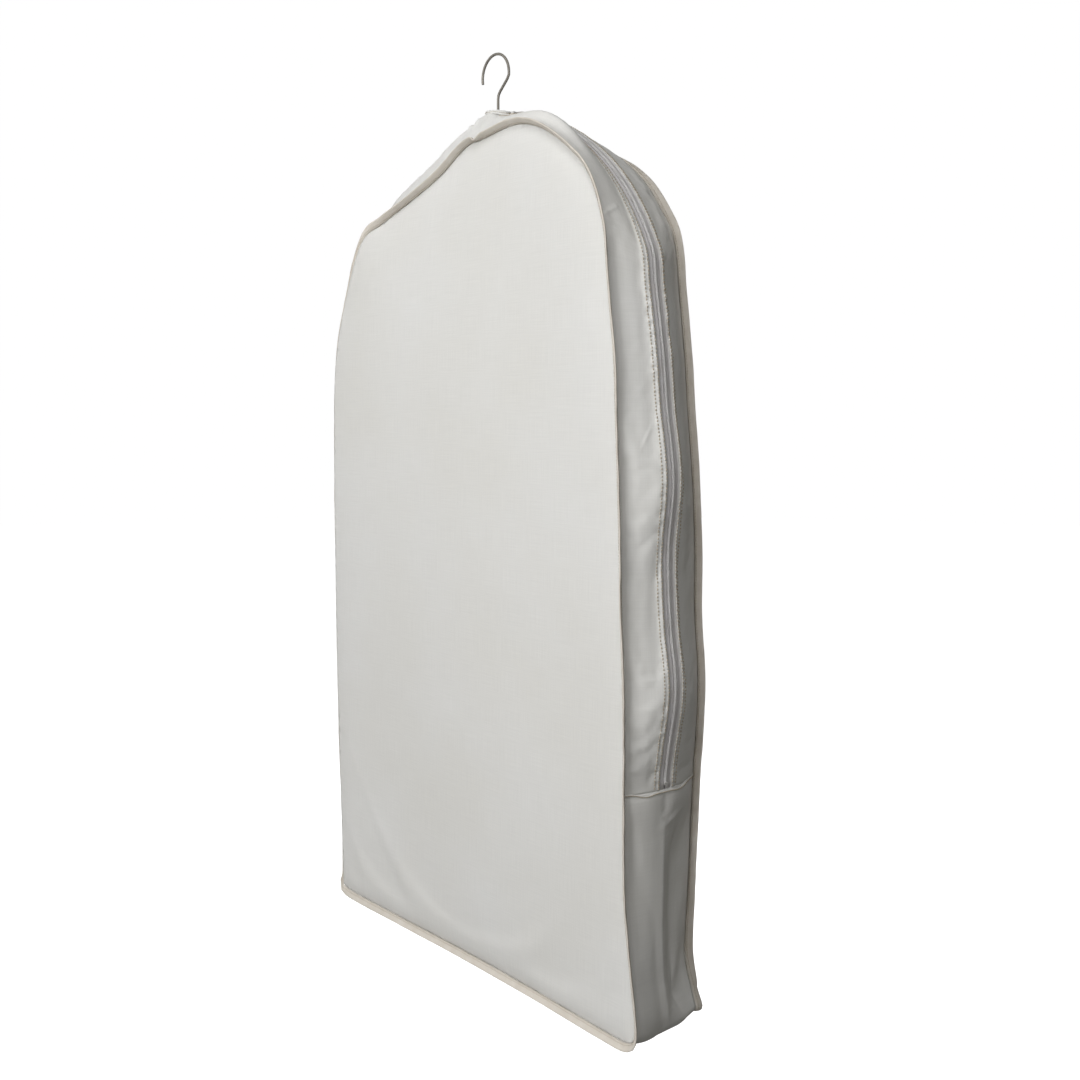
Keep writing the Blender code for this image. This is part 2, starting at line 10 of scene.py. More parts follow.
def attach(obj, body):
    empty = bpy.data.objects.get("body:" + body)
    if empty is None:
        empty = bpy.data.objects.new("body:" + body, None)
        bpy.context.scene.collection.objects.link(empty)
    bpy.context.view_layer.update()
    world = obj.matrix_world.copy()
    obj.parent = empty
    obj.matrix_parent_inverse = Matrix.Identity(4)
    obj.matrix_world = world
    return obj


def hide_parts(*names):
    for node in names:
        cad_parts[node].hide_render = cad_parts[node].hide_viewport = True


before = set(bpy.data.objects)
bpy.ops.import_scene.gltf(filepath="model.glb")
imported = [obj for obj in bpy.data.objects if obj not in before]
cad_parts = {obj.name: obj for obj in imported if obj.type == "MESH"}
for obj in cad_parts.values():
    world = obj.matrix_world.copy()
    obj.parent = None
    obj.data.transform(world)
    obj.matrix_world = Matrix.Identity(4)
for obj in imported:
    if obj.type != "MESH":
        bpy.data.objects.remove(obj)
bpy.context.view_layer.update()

# ---------------------------------------------------------------- camera, stage and light

CAMERA_PLACE = (1.3457, -1.0727, -0.4460)
CAMERA_PITCH = math.radians(84)
CAMERA_YAW = 0.86643
CAMERA_LENS = 43.16
SENSOR_WIDTH = 36

scene = bpy.context.scene
scene.view_settings.view_transform = "Standard"

camera_data = bpy.data.cameras.new("camera")
camera_data.lens = CAMERA_LENS
camera_data.sensor_width = SENSOR_WIDTH
camera = bpy.data.objects.new("camera", camera_data)
camera.location = CAMERA_PLACE
camera.rotation_euler = (CAMERA_PITCH, 0, CAMERA_YAW)
scene.collection.objects.link(camera)
scene.camera = camera

FLOOR_Z = -1.80
STAGE_RADIUS = 14.0
FILL_COLOUR = (1.0, 0.97, 0.90)
FILL_STRENGTH = 0.12


def plain_material(name, colour, glow):
    material = bpy.data.materials.new(name)
    material.use_nodes = True
    shader = material.node_tree.nodes["Principled BSDF"]
    shader.inputs["Base Color"].default_value = (*colour, 1)
    shader.inputs["Roughness"].default_value = 0.9
    shader.inputs["Emission Color"].default_value = (1, 1, 1, 1)
    shader.inputs["Emission Strength"].default_value = glow
    return material


def stage_piece(name, bm, material):
    """Part of the studio: the camera sees it, and it throws no light back on the bag."""
    mesh = bpy.data.meshes.new(name)
    bm.to_mesh(mesh)
    bm.free()
    mesh.materials.append(material)
    obj = bpy.data.objects.new(name, mesh)
    scene.collection.objects.link(obj)
    obj.visible_diffuse = False
    obj.visible_glossy = False
    obj.visible_shadow = False
    return obj


def make_stage():
    bm = bmesh.new()
    bmesh.ops.create_circle(bm, cap_ends=True, segments=64, radius=STAGE_RADIUS)
    floor = stage_piece("floor", bm, plain_material("pale floor", (0.9, 0.9, 0.9), 0.96))
    floor.location.z = FLOOR_Z
    bm = bmesh.new()
    bmesh.ops.create_uvsphere(bm, u_segments=48, v_segments=24, radius=STAGE_RADIUS)
    stage_piece("backdrop", bm, plain_material("white backdrop", (0, 0, 0), 1.0))


def area_light(name, place, target, size, power):
    data = bpy.data.lights.new(name, "AREA")
    data.shape = "RECTANGLE"
    data.size, data.size_y = size
    data.energy = power
    light = bpy.data.objects.new(name, data)
    light.location = place
    light.rotation_euler = (Vector(place) - Vector(target)).to_track_quat("Z", "Y").to_euler()
    light.visible_camera = False
    scene.collection.objects.link(light)


def make_lights():
    world = bpy.data.worlds.new("studio")
    world.use_nodes = True
    background = world.node_tree.nodes["Background"]
    background.inputs["Color"].default_value = (*FILL_COLOUR, 1)
    background.inputs["Strength"].default_value = FILL_STRENGTH
    scene.world = world
    area_light("key", (0.50, -2.85, 0.00), (0, 0, -0.64), (1.3, 1.5), 51)
    area_light("side", (2.1, -1.5, 0.5), (0.2, 0, -0.3), (1.2, 1.2), 8)
    area_light("top", (1.0, -1.2, 1.5), (0.20, 0, -0.1), (0.9, 0.7), 17)
    area_light("left", (-2.4, -1.2, 0.2), (0, 0, -0.6), (1.4, 1.8), 10)
    area_light("back", (-2.0, 2.3, 0.2), (0, 0, -0.6), (1.4, 1.6), 34)


make_stage()
make_lights()

# ---------------------------------------------------------------- the shape the bag hangs in

HANG_DROP = 1.1935          # from where the hook bears down to the bag's bottom edge
HALF_GUSSET = 0.0635
SEAM_GAP = 0.0007           # from a seam line to where the gusset's cloth starts
ZIP_CENTRE_X = 0.002        # the zip follows an arc over the shoulder
ZIP_CENTRE_HEIGHT = 0.800
ZIP_RADIUS = 0.312
ZIP_PLANE_Y = -0.0065
ZIP_START_DEG = 5.0
ZIP_END_DEG = 66.0
ARC_END_ROW = 5             # row of stations() where the arc ends
CROSS_SEAM_ROW = 14         # and where the zip strips end
FLAT_HALF = 0.013           # half of the flat middle of the gusset
STRIP_EDGE = 0.009          # from the zip's middle to the strips' turned edges
SWELL = 0.06                # how far the gusset stands out, as a share of half its width
PUFF_SWELL = 0.52           # the same at the puff beside the neck
PUFF_ROW = 1.65
PUFF_ROWS = 1.3
TIGHT_ROW = 32.5            # where the gusset lies tight over the left shoulder
TIGHT_ROWS = 2.4
NECK_HALF_X = 0.019
NECK_HALF_Y = 0.0125

SAMPLE_STEP = 0.0065        # length of a cell of cloth along the seams
PANEL_STEP = 0.0105         # and on the two flat panels


def at(x, y, height):
    return Vector((x, y, height - HANG_DROP))


def arc_point(degrees):
    """Point on the arc that the zip follows over the shoulder, from straight up towards +X."""
    angle = math.radians(degrees)
    return at(ZIP_CENTRE_X + ZIP_RADIUS * math.sin(angle), ZIP_PLANE_Y,
              ZIP_CENTRE_HEIGHT + ZIP_RADIUS * math.cos(angle))


def arc_degrees(point):
    rise = point.z + HANG_DROP - ZIP_CENTRE_HEIGHT
    return math.degrees(math.atan2(point.x - ZIP_CENTRE_X, rise))


def stations():
    """The design's own stations: front seam, middle of the gusset, rear seam and both leans."""
    front = -HALF_GUSSET
    rear = HALF_GUSSET
    right_side = [
        (0.745, 0.2892, 0.3135, 0.2785, 15), (0.663, 0.2937, 0.3250, 0.2875, 15),
        (0.580, 0.2973, 0.3180, 0.2930, 15), (0.500, 0.3007, 0.3220, 0.2945, 15),
        (0.420, 0.3045, 0.3320, 0.3010, 15), (0.345, 0.3065, 0.3210, 0.2985, 15),
        (0.300, 0.3060, 0.3165, 0.2948, 20), (0.180, 0.3085, 0.3160, 0.2904, 10),
        (0.075, 0.3225, 0.3205, 0.2850, 35)]
    left_side = [
        (-0.306, 0.100), (-0.311, 0.300), (-0.3125, 0.500), (-0.310, 0.690), (-0.3035, 0.800)]
    rows = [
        (at(0.035, -0.044, 1.0795), arc_point(ZIP_START_DEG), at(0.030, 0.049, 1.064), 55, 60),
        (at(0.095, -0.0485, 1.0842), arc_point(17), at(0.095, 0.058, 1.070), 54, 80),
        (at(0.150, -0.055, 1.0715), arc_point(28.5), at(0.150, rear, 1.0535), 54, 95),
        (at(0.205, -0.061, 1.0412), arc_point(41), at(0.1985, rear, 1.0205), 51, 75),
        (at(0.244, front, 1.0055), arc_point(53.5), at(0.2330, rear, 0.978), 47, 45),
        (at(0.267, front, 0.950), arc_point(ZIP_END_DEG), at(0.2550, rear, 0.937), 43, 18),
        (at(0.2755, front, 0.885), at(0.2950, ZIP_PLANE_Y, 0.880), at(0.2636, rear, 0.876), 42, 15),
        (at(0.2855, front, 0.8035), at(0.3072, ZIP_PLANE_Y, 0.8035), at(0.2739, rear, 0.797), 43, 15)]
    for height, front_x, middle_x, rear_x, rear_lean in right_side:
        rows.append((at(front_x, front, height), at(middle_x, ZIP_PLANE_Y, height),
                     at(rear_x, rear, height), 44, rear_lean))
    rows += [
        (at(0.3285, front, 0.030), at(0.3235, 0, 0.020), at(0.2985, rear, 0.028), 44, 100),
        (at(0.3200, front, 0.0085), at(0.3080, 0, -0.0010), at(0.3040, rear, 0.0030), 45, 80),
        (at(0.2700, front, 0.0070), at(0.270, 0, -0.0010), at(0.2700, rear, 0.0045), 45, 60)]
    for x, height in ((0.155, 0.0115), (0.0, 0.0145), (-0.155, 0.0145)):
        rows.append((at(x, front, height), at(x, 0, height - 0.0035), at(x, rear, height), 45, 45))
    rows += [
        (at(-0.290, front, 0.016), at(-0.290, 0, 0.012), at(-0.290, rear, 0.016), 30, 45),
        (at(-0.3035, front, 0.032), at(-0.303, 0, 0.028), at(-0.303, rear, 0.031), -20, 45)]
    for x, height in left_side:
        rows.append((at(x, front, height), at(x - 0.001, 0, height), at(x, rear, height), -45, 45))
    rows += [
        (at(-0.2810, -0.0625, 0.880), at(-0.295, 0, 0.883), at(-0.290, rear, 0.880), -32, 45),
        (at(-0.2345, -0.0615, 0.970), at(-0.261, 0, 0.978), at(-0.257, 0.060, 0.960), -18, 45),
        (at(-0.188, -0.052, 0.9965), at(-0.222, 0, 1.0310), at(-0.205, 0.050, 1.004), 50, 45),
        (at(-0.128, -0.046, 1.0208), at(-0.150, 0, 1.0635), at(-0.140, 0.045, 1.032), 58, 45),
        (at(-0.068, -0.042, 1.0455), at(-0.075, 0, 1.0975), at(-0.072, 0.043, 1.054), 60, 45),
        (at(-0.013, -0.0405, 1.0750), at(-0.018, 0, 1.1195), at(-0.014, 0.046, 1.066), 60, 45)]
    return rows


def catmull(before, start, end, after, t):
    """Point of a Catmull-Rom curve between start and end."""
    return 0.5 * ((2 * start) + (end - before) * t
                  + (2 * before - 5 * start + 4 * end - after) * t * t
                  + (3 * start - before - 3 * end + after) * t ** 3)


class Sample:
    """One cross section of the bag."""

    def __init__(self, front, middle, rear, front_lean, rear_lean, row):
        self.front = front
        self.middle = middle
        self.rear = rear
        self.front_lean = front_lean
        self.rear_lean = rear_lean
        self.row = row
        self.out = None


def zip_out(sample):
    """Direction out of the bag on the zip: square to the arc, then easing level down the side."""
    if sample.row <= ARC_END_ROW:
        angle = arc_degrees(sample.middle)
    else:
        angle = min(90, ZIP_END_DEG + (90 - ZIP_END_DEG) * (sample.row - ARC_END_ROW) / 2)
    return Vector((math.sin(math.radians(angle)), 0, math.cos(math.radians(angle))))


def sample_stations(step_length):
    rows = stations()
    count = len(rows)
    samples = []
    for index in range(count):
        around = [rows[(index + shift) % count] for shift in (-1, 0, 1, 2)]
        length = max((around[2][part] - around[1][part]).length for part in (0, 1, 2))
        steps = max(1, round(length / step_length))
        for step in range(steps):
            t = step / steps
            front, middle, rear = (catmull(*[row[part] for row in around], t) for part in (0, 1, 2))
            if index < ARC_END_ROW:
                middle = arc_point(arc_degrees(middle))
            leans = [around[1][part] * (1 - t) + around[2][part] * t for part in (3, 4)]
            samples.append(Sample(front, middle, rear, *leans, index + t))
    for index, sample in enumerate(samples):
        if sample.row <= CROSS_SEAM_ROW:
            sample.out = zip_out(sample)
        else:
            tangent = samples[(index + 1) % len(samples)].middle - samples[index - 1].middle
            sample.out = Vector((-tangent.z, 0, tangent.x)).normalized()
    return samples


samples = sample_stations(SAMPLE_STEP)

# ---------------------------------------------------------------- meshes


def link(obj):
    scene.collection.objects.link(obj)
    return obj


def mesh_object(name, verts, faces):
    mesh = bpy.data.meshes.new(name)
    mesh.from_pydata([tuple(vert) for vert in verts], [], faces)
    return link(bpy.data.objects.new(name, mesh))


def set_uv(mesh, name, values):
    """A UV map with one value per vertex."""
    layer = mesh.uv_layers.new(name=name)
    corners = np.empty(len(mesh.loops), np.int32)
    mesh.loops.foreach_get("vertex_index", corners)
    layer.data.foreach_set("uv", np.asarray(values, np.float32)[corners].ravel())


def get_uv(mesh, name):
    """The same map read back as one value per vertex."""
    layer = mesh.uv_layers[name]
    corners = np.empty(len(mesh.loops), np.int32)
    mesh.loops.foreach_get("vertex_index", corners)
    flat = np.empty(len(mesh.loops) * 2, np.float32)
    layer.data.foreach_get("uv", flat)
    values = np.zeros((len(mesh.vertices), 2))
    values[corners] = flat.reshape(-1, 2)
    return values


def coordinates(mesh):
    flat = np.empty(len(mesh.vertices) * 3, np.float32)
    mesh.vertices.foreach_get("co", flat)
    return flat.reshape(-1, 3).astype(float)


def normals(mesh):
    flat = np.empty(len(mesh.vertices) * 3, np.float32)
    mesh.vertex_normals.foreach_get("vector", flat)
    return flat.reshape(-1, 3).astype(float)


def move_to(mesh, points):
    mesh.vertices.foreach_set("co", np.asarray(points, np.float32).ravel())
    mesh.update()


def smooth(obj):
    obj.data.shade_smooth()
    return obj


def grid_object(name, rows, places=None, close_rows=False, close_sections=False, cap=False):
    """Surface through rows of points, with a map in metres and one of the caller's places."""
    points = np.array([[tuple(point) for point in row] for row in rows], float)
    count, width = points.shape[:2]
    along = np.zeros((count, width))
    across = np.zeros((count, width))
    along[1:] = np.cumsum(np.linalg.norm(np.diff(points, axis=0), axis=2).mean(axis=1))[:, None]
    across[:, 1:] = np.cumsum(np.linalg.norm(np.diff(points, axis=1), axis=2), axis=1)
    faces = []
    for i in range(count if close_rows else count - 1):
        following = (i + 1) % count
        for j in range(width if close_sections else width - 1):
            k = (j + 1) % width
            faces.append((i * width + j, i * width + k, following * width + k, following * width + j))
    if cap:
        faces.append(tuple(range(width))[::-1])
        faces.append(tuple((count - 1) * width + j for j in range(width)))
    obj = mesh_object(name, points.reshape(-1, 3), faces)
    set_uv(obj.data, "weave", np.stack([along.ravel(), across.ravel()], 1))
    if places is not None:
        set_uv(obj.data, "place", np.array(places, float).reshape(-1, 2))
    return obj


def close_outward(obj):
    """Turn the faces of a closed mesh to point out of it."""
    bm = bmesh.new()
    bm.from_mesh(obj.data)
    bmesh.ops.recalc_face_normals(bm, faces=bm.faces)
    bm.to_mesh(obj.data)
    bm.free()
    return obj


def panel_object(name, seam, side, crown):
    """Triangulated cloth inside a closed seam line, blown out a little from the seam."""
    outline = [Vector((point.x, point.z)) for point in seam]
    border = np.array([tuple(point) for point in seam])
    low = border.min(axis=0)
    high = border.max(axis=0)
    inside = []
    lift = PANEL_STEP * math.sqrt(3) / 2
    row = 0
    z = low[2] + lift
    while z < high[2]:
        x = low[0] + (PANEL_STEP / 2 if row % 2 else 0)
        while x < high[0]:
            inside.append((x, z))
            x += PANEL_STEP
        z += lift
        row += 1
    inside = np.array(inside)
    gap = np.hypot(inside[:, None, 0] - border[None, :, 0], inside[:, None, 1] - border[None, :, 2])
    inside = inside[gap.min(axis=1) > 0.55 * SAMPLE_STEP]
    count = len(outline)
    edges = [(i, (i + 1) % count) for i in range(count)]
    flat = outline + [Vector(point) for point in inside]
    verts, _, faces, *_ = geometry.delaunay_2d_cdt(flat, edges, [], 1, 1e-7)
    plan = np.array([tuple(v) for v in verts])
    used = sorted({index for face in faces for index in face})
    order = {old: new for new, old in enumerate(used)}
    plan = plan[used]
    faces = [tuple(order[index] for index in face) for face in faces]
    distance = np.hypot(plan[:, None, 0] - border[None, :, 0], plan[:, None, 1] - border[None, :, 2])
    weight = 1 / (distance + 1e-5) ** 2.5
    depth = (weight * border[None, :, 1]).sum(axis=1) / weight.sum(axis=1)
    reach = distance.min(axis=1)
    depth += side * crown(plan[:, 0], plan[:, 1] + HANG_DROP, reach)
    points = np.stack([plan[:, 0], depth, plan[:, 1]], 1)
    obj = mesh_object(name, points, faces)
    mesh = obj.data
    set_uv(mesh, "weave", plan)
    set_uv(mesh, "place", np.stack([reach, plan[:, 1] + HANG_DROP], 1))
    facing = normals(mesh)[:, 1].mean()
    if facing * side < 0:
        mesh.flip_normals()
    return obj, [int(index) for index in np.nonzero(reach < 1e-4)[0]]


# ---------------------------------------------------------------- cloth simulation

CLOTH_FRAMES = 16
cloths = []


def hang(obj, held, slack, limit, bending):
    """Queue a piece for the simulation: held vertices stay, the rest settles within limit."""
    group = obj.vertex_groups.new(name="held")
    group.add(held, 1.0, "REPLACE")
    cloths.append((obj, coordinates(obj.data), limit))
    modifier = obj.modifiers.new("Cloth", "CLOTH")
    settings = modifier.settings
    settings.quality = 6
    settings.mass = 0.25
    settings.tension_stiffness = 25
    settings.compression_stiffness = 25
    settings.shear_stiffness = 8
    settings.bending_stiffness = bending
    settings.air_damping = 2.5
    settings.vertex_group_mass = "held"
    settings.pin_stiffness = 1.0
    settings.shrink_min = -slack
    modifier.collision_settings.use_collision = False
    modifier.collision_settings.use_self_collision = False


def settle():
    """Run the queued cloth together, and keep the shape that each piece settles in."""
    for step in range(1, CLOTH_FRAMES + 1):
        scene.frame_set(step)
    depsgraph = bpy.context.evaluated_depsgraph_get()
    for obj, start, limit in cloths:
        settled = bpy.data.meshes.new_from_object(obj.evaluated_get(depsgraph))
        move = coordinates(settled) - start
        length = np.linalg.norm(move, axis=1)
        keep = np.minimum(1, limit / np.maximum(length, 1e-9))
        move_to(obj.data, start + move * keep[:, None])
        bpy.data.meshes.remove(settled)
        obj.modifiers.remove(obj.modifiers["Cloth"])
        obj.vertex_groups.clear()
    cloths.clear()
    scene.frame_set(1)


def refine(obj, levels=1):
    """Subdivide for good, so that fine folds have cloth to lie in."""
    modifier = obj.modifiers.new("Refine", "SUBSURF")
    modifier.levels = levels
    modifier.render_levels = levels
    modifier.boundary_smooth = "ALL"
    depsgraph = bpy.context.evaluated_depsgraph_get()
    mesh = bpy.data.meshes.new_from_object(obj.evaluated_get(depsgraph))
    obj.modifiers.remove(modifier)
    old = obj.data
    obj.data = mesh
    mesh.name = obj.name
    bpy.data.meshes.remove(old)


def displace(obj, shape):
    """Move each vertex along its normal by shape(points, places), in metres."""
    mesh = obj.data
    points = coordinates(mesh)
    offset = shape(points, get_uv(mesh, "place"))
    move_to(mesh, points + normals(mesh) * offset[:, None])


def thicken(obj):
    """Give the cloth its thickness, half of it on each side."""
    solidify = obj.modifiers.new("Cloth thickness", "SOLIDIFY")
    solidify.thickness = CLOTH_THICKNESS
    solidify.offset = 0


def lumps(points, size, seed):
    """Smooth noise from -1 to 1 at each point."""
    shift = Vector((seed * 7.3, seed * 3.1, seed * 5.7))
    return np.array([noise.noise(Vector(point) / size + shift) for point in points])


def bell(value, centre, width):
    return np.exp(-((value - centre) / width) ** 2)


# ---------------------------------------------------------------- cloth pieces

CLOTH_THICKNESS = 0.0008
LEFT_SIDE_ROW = 25.2        # from here to the neck the gusset's middle stays where it is laid
HALF_COLUMNS = 8            # columns of cloth from a seam to the flat middle
FLAT_COLUMNS = 3            # and in each half of that


def swell_share(row, side):
    """How far the gusset stands out, in front of its middle (-1) or behind it (1)."""
    if side > 0:
        return SWELL
    from_puff = min(abs(row - PUFF_ROW), abs(row - len(stations()) - PUFF_ROW))
    puff = math.exp(-(from_puff / PUFF_ROWS) ** 2)
    tight = math.exp(-((row - TIGHT_ROW) / TIGHT_ROWS) ** 2)
    return SWELL * (1 - tight) + (PUFF_SWELL - SWELL) * puff


def half_rows(sample, side):
    """Points from a seam to the flat middle of the gusset, with the slack standing out."""
    seam = sample.front if side < 0 else sample.rear
    out = sample.out
    fold = sample.middle + Vector((0, side * FLAT_HALF, 0)) - out * 0.0002
    start = seam + (fold - seam).normalized() * SEAM_GAP
    swell = swell_share(sample.row, side) * (fold - seam).length
    points = []
    for column in range(HALF_COLUMNS + 1):
        t = column / HALF_COLUMNS
        points.append(start.lerp(fold, t) + out * swell * 4 * t * (1 - t))
    return points


def across_places(row, count, start, end):
    return [(row, start + (end - start) * i / (count - 1)) for i in range(count)]


def gusset_rows(start_row, end_row):
    rows, places = [], []
    first = samples[0]
    last = Sample(first.front, first.middle, first.rear, first.front_lean, first.rear_lean, len(stations()))
    last.out = first.out
    for sample in samples + [last]:
        if not start_row < sample.row <= end_row:
            continue
        front = half_rows(sample, -1)
        rear = half_rows(sample, 1)[::-1]
        flat = [front[-1].lerp(rear[0], i / (2 * FLAT_COLUMNS)) for i in range(1, 2 * FLAT_COLUMNS)]
        section = front + flat + rear
        rows.append(section)
        places.append(across_places(sample.row, len(section), -1, 1))
    return rows, places


def strip_rows(side):
    rows, places = [], []
    for sample in samples:
        if sample.row > CROSS_SEAM_ROW:
            continue
        section = half_rows(sample, side)
        edge = sample.middle + Vector((0, side * STRIP_EDGE, 0))
        section += [section[-1].lerp(edge, 0.5), edge]
        rows.append(section)
        reach = [abs(point.y - sample.middle.y) for point in section]
        places.append([(sample.row, side * value) for value in reach])
    return rows, places


def borders(count, width):
    """Numbers of the vertices round the edge of a grid of count rows."""
    held = {i * width for i in range(count)} | {i * width + width - 1 for i in range(count)}
    return held | set(range(width)) | set(range((count - 1) * width, count * width))


def front_crown(x, height, reach):
    base = 0.0065 * (1 - np.exp(-reach / 0.022))
    return base + 0.0015 * np.sin(x * 9 + 1) * np.minimum(1, reach / 0.08)


def rear_crown(x, height, reach):
    return 0.0060 * (1 - np.exp(-reach / 0.025))


front_seam = [sample.front for sample in samples]
rear_seam = [sample.rear for sample in samples]

PANEL_CLOTH = {"slack": 0.0003, "limit": 0.0016, "bending": 15.0}
front_panel, held = panel_object("front_panel_cloth", front_seam, -1, front_crown)
hang(front_panel, held, **PANEL_CLOTH)
rear_panel, held = panel_object("rear_panel_cloth", rear_seam, 1, rear_crown)
hang(rear_panel, held, **PANEL_CLOTH)

rows, places = gusset_rows(CROSS_SEAM_ROW - 0.001, len(stations()))
gusset = grid_object("gusset_cloth", rows, places)
width = len(rows[0])
held = borders(len(rows), width)
for index, line in enumerate(places):
    if line[0][0] > LEFT_SIDE_ROW:
        held |= {index * width + j for j in range(HALF_COLUMNS, width - HALF_COLUMNS)}
hang(gusset, sorted(held), slack=0.004, limit=0.0025, bending=1.5)

strips = {}
for name, side in (("front", -1), ("rear", 1)):
    rows, places = strip_rows(side)
    strip = grid_object(f"zip_strip_{name}_cloth", rows, places)
    if side > 0:
        strip.data.flip_normals()
    width = len(rows[0])
    held = borders(len(rows), width)
    held |= {i * width + j for i in range(len(rows)) for j in range(width - 3, width)}
    hang(strip, sorted(held), slack=0.005, limit=0.0025, bending=1.0)
    strips[name] = strip

settle()

# ---------------------------------------------------------------- folds and puckers

NECK_BUMP_X = -0.036
STITCH_REACH = 0.0120       # from the zip's middle to the first row of topstitching
TAPE_END = (ZIP_PLANE_Y, 0.281)  # y and height of the middle of the tape's hidden end
ROW_LENGTH = 0.0745         # mean length of a row of stations() down the zip


def step_up(value, start, end):
    """0 before start, 1 after end, smooth between."""
    t = np.clip((value - start) / (end - start), 0, 1)
    return t * t * (3 - 2 * t)


def gusset_shape(points, places):
    """Folds of the gusset: low ridge, cross seam, the tape's hidden end, a tuck, neck and ripple."""
    x, y = points[:, 0], points[:, 1]
    height = points[:, 2] + HANG_DROP
    across = places[:, 1]
    right = step_up(x, 0.24, 0.28)
    left = 1 - step_up(x, -0.26, -0.20)
    low = step_up(height, 0.0, 0.04) * (1 - step_up(height, 0.20, 0.29))
    ridge = np.clip(across / 0.6, 0, 1) * np.clip((1 - across) / 0.4, 0, 1)
    offset = 0.0165 * right * low * ridge
    seam = step_up(places[:, 0], CROSS_SEAM_ROW + 0.02, CROSS_SEAM_ROW + 0.10)
    offset -= 0.0010 * right * seam * step_up(height, 0.25, 0.29)
    tape = bell(y, TAPE_END[0], 0.0055) * step_up(height, TAPE_END[1] - 0.013, TAPE_END[1] - 0.009)
    offset += 0.0011 * right * tape * (1 - bell(height, 0.296, 0.004))
    offset -= 0.0018 * right * bell(height - 0.35 * (y - 0.012), 0.262, 0.004) * bell(y, 0.012, 0.02)
    top = step_up(height, 1.02, 1.07)
    offset += 0.0060 * top * bell(x, NECK_BUMP_X, 0.013) * bell(across, 0, 0.40)
    offset -= 0.0028 * top * bell(x + 0.25 * y, -0.046, 0.0035) * bell(across, -0.25, 0.22)
    offset -= 0.0022 * top * bell(x - 0.30 * y, -0.022, 0.0030) * bell(across, -0.35, 0.20)
    ripple = lumps(points * np.array([1, 0.5, 1]), 0.030, 3) * 0.0012
    ripple += lumps(points, 0.011, 4) * 0.0004
    offset += ripple * (0.4 + 1.2 * top * (x < 0.03) + 0.3 * left)
    return offset * (1 - bell(abs(across), 1, 0.06))


def zip_pucker(along, reach, height, seed):
    """Small cloth bubbles that the topstitching gathers beside the zip."""
    size = 0.55 + 0.75 * bell(height, 0.83, 0.05) + 0.35 * bell(height, 0.62, 0.07)
    size = size + 0.35 * bell(height, 0.36, 0.05)
    spots = np.stack([along / 0.0058, reach / 0.012, np.zeros_like(along)], 1)
    bubbles = lumps(spots, 1.0, seed)
    return 0.0019 * size * bubbles * bell(reach, 0.0146, 0.0036)


def strip_shape(side, seed):
    """Folds of a zip strip: its turned edge, stitching, puckers, long folds and crumples."""
    def shape(points, places):
        height = points[:, 2] + HANG_DROP
        reach = np.abs(places[:, 1])
        along = places[:, 0] * ROW_LENGTH
        offset = 0.0003 * (1 - step_up(reach, 0.0112, 0.0126))
        offset -= 0.0007 * bell(reach, STITCH_REACH, 0.0010)
        offset += zip_pucker(along, reach, height, seed)
        wander = 0.5 + 0.5 * lumps(np.stack([along, along * 0, along * 0], 1), 0.11, seed + 1)
        fade = 1 - step_up(reach, 0.050, 0.0585)
        side_run = 1 - step_up(height, 0.86, 0.98)
        if side > 0:
            offset += 0.0008 * wander * bell(reach, 0.0185, 0.0022)
            shoulder = bell(height, 0.985, 0.060)
            crumple = lumps(np.stack([along / 1.3, reach, along * 0], 1), 0.016, seed + 6)
            offset += 0.0030 * shoulder * crumple * bell(reach, 0.044, 0.014)
            offset -= 0.0030 * shoulder * bell(reach, 0.046, 0.010)
        else:
            offset += 0.0010 * bell(reach, 0.024, 0.006) * side_run * wander
            offset -= 0.0014 * bell(reach, 0.0165, 0.0025) * bell(height, 0.97, 0.09)
            curve = 0.955 + 0.5 * (points[:, 1] + 0.07) - 9 * (points[:, 1] + 0.05) ** 2
            offset -= 0.0011 * bell(height, curve, 0.0022) * step_up(reach, 0.030, 0.036) * fade
            slant = height - 0.711 - 1.9 * (points[:, 1] + 0.034)
            offset -= 0.0008 * bell(slant, 0, 0.0030) * bell(points[:, 1], -0.034, 0.006)
        grain = lumps(points * np.array([1, 0.6, 1]), 0.045, seed + 2) * 0.0008
        grain += lumps(points, 0.012, seed + 3) * 0.00035
        offset += grain * fade * step_up(reach, 0.016, 0.030)
        return offset
    return shape


def panel_shape(seed):
    """Broad waves of a panel, fine unevenness, and small tugs beside its seam."""
    def shape(points, places):
        reach = places[:, 0]
        broad = lumps(points * np.array([1, 0, 0.6]), 0.17, seed) * 0.0020
        fine = lumps(points * np.array([1, 0, 1]), 0.045, seed + 1) * 0.00035
        tug = lumps(points * np.array([1, 0, 1]), 0.012, seed + 2) * 0.00045 * bell(reach, 0.008, 0.008)
        return (broad + fine) * step_up(reach, 0.0, 0.05) + tug * step_up(reach, 0.0, 0.004)
    return shape


refine(front_panel)
displace(front_panel, panel_shape(11))
refine(rear_panel)
displace(rear_panel, panel_shape(17))
refine(gusset)
displace(gusset, gusset_shape)
for name, side, seed in (("front", -1, 21), ("rear", 1, 31)):
    refine(strips[name], 2)
    displace(strips[name], strip_shape(side, seed))


def open_neck(obj):
    """Cut the oval for the hook in the gusset and bring its edge to the oval."""
    bm = bmesh.new()
    bm.from_mesh(obj.data)

    def oval(vert):
        return math.hypot(vert.co.x / NECK_HALF_X, vert.co.y / NECK_HALF_Y)

    top = [vert for vert in bm.verts if vert.co.z > -0.10]
    bmesh.ops.delete(bm, geom=[vert for vert in top if oval(vert) < 0.96], context="VERTS")
    for vert in bm.verts:
        if vert.is_boundary and vert.co.z > -0.10 and oval(vert) < 1.25 and vert.co.x < 0.018:
            size = oval(vert)
            vert.co.x /= size
            vert.co.y /= size
    bm.to_mesh(obj.data)
    bm.free()


open_neck(gusset)

# ---------------------------------------------------------------- bound seams and stitching

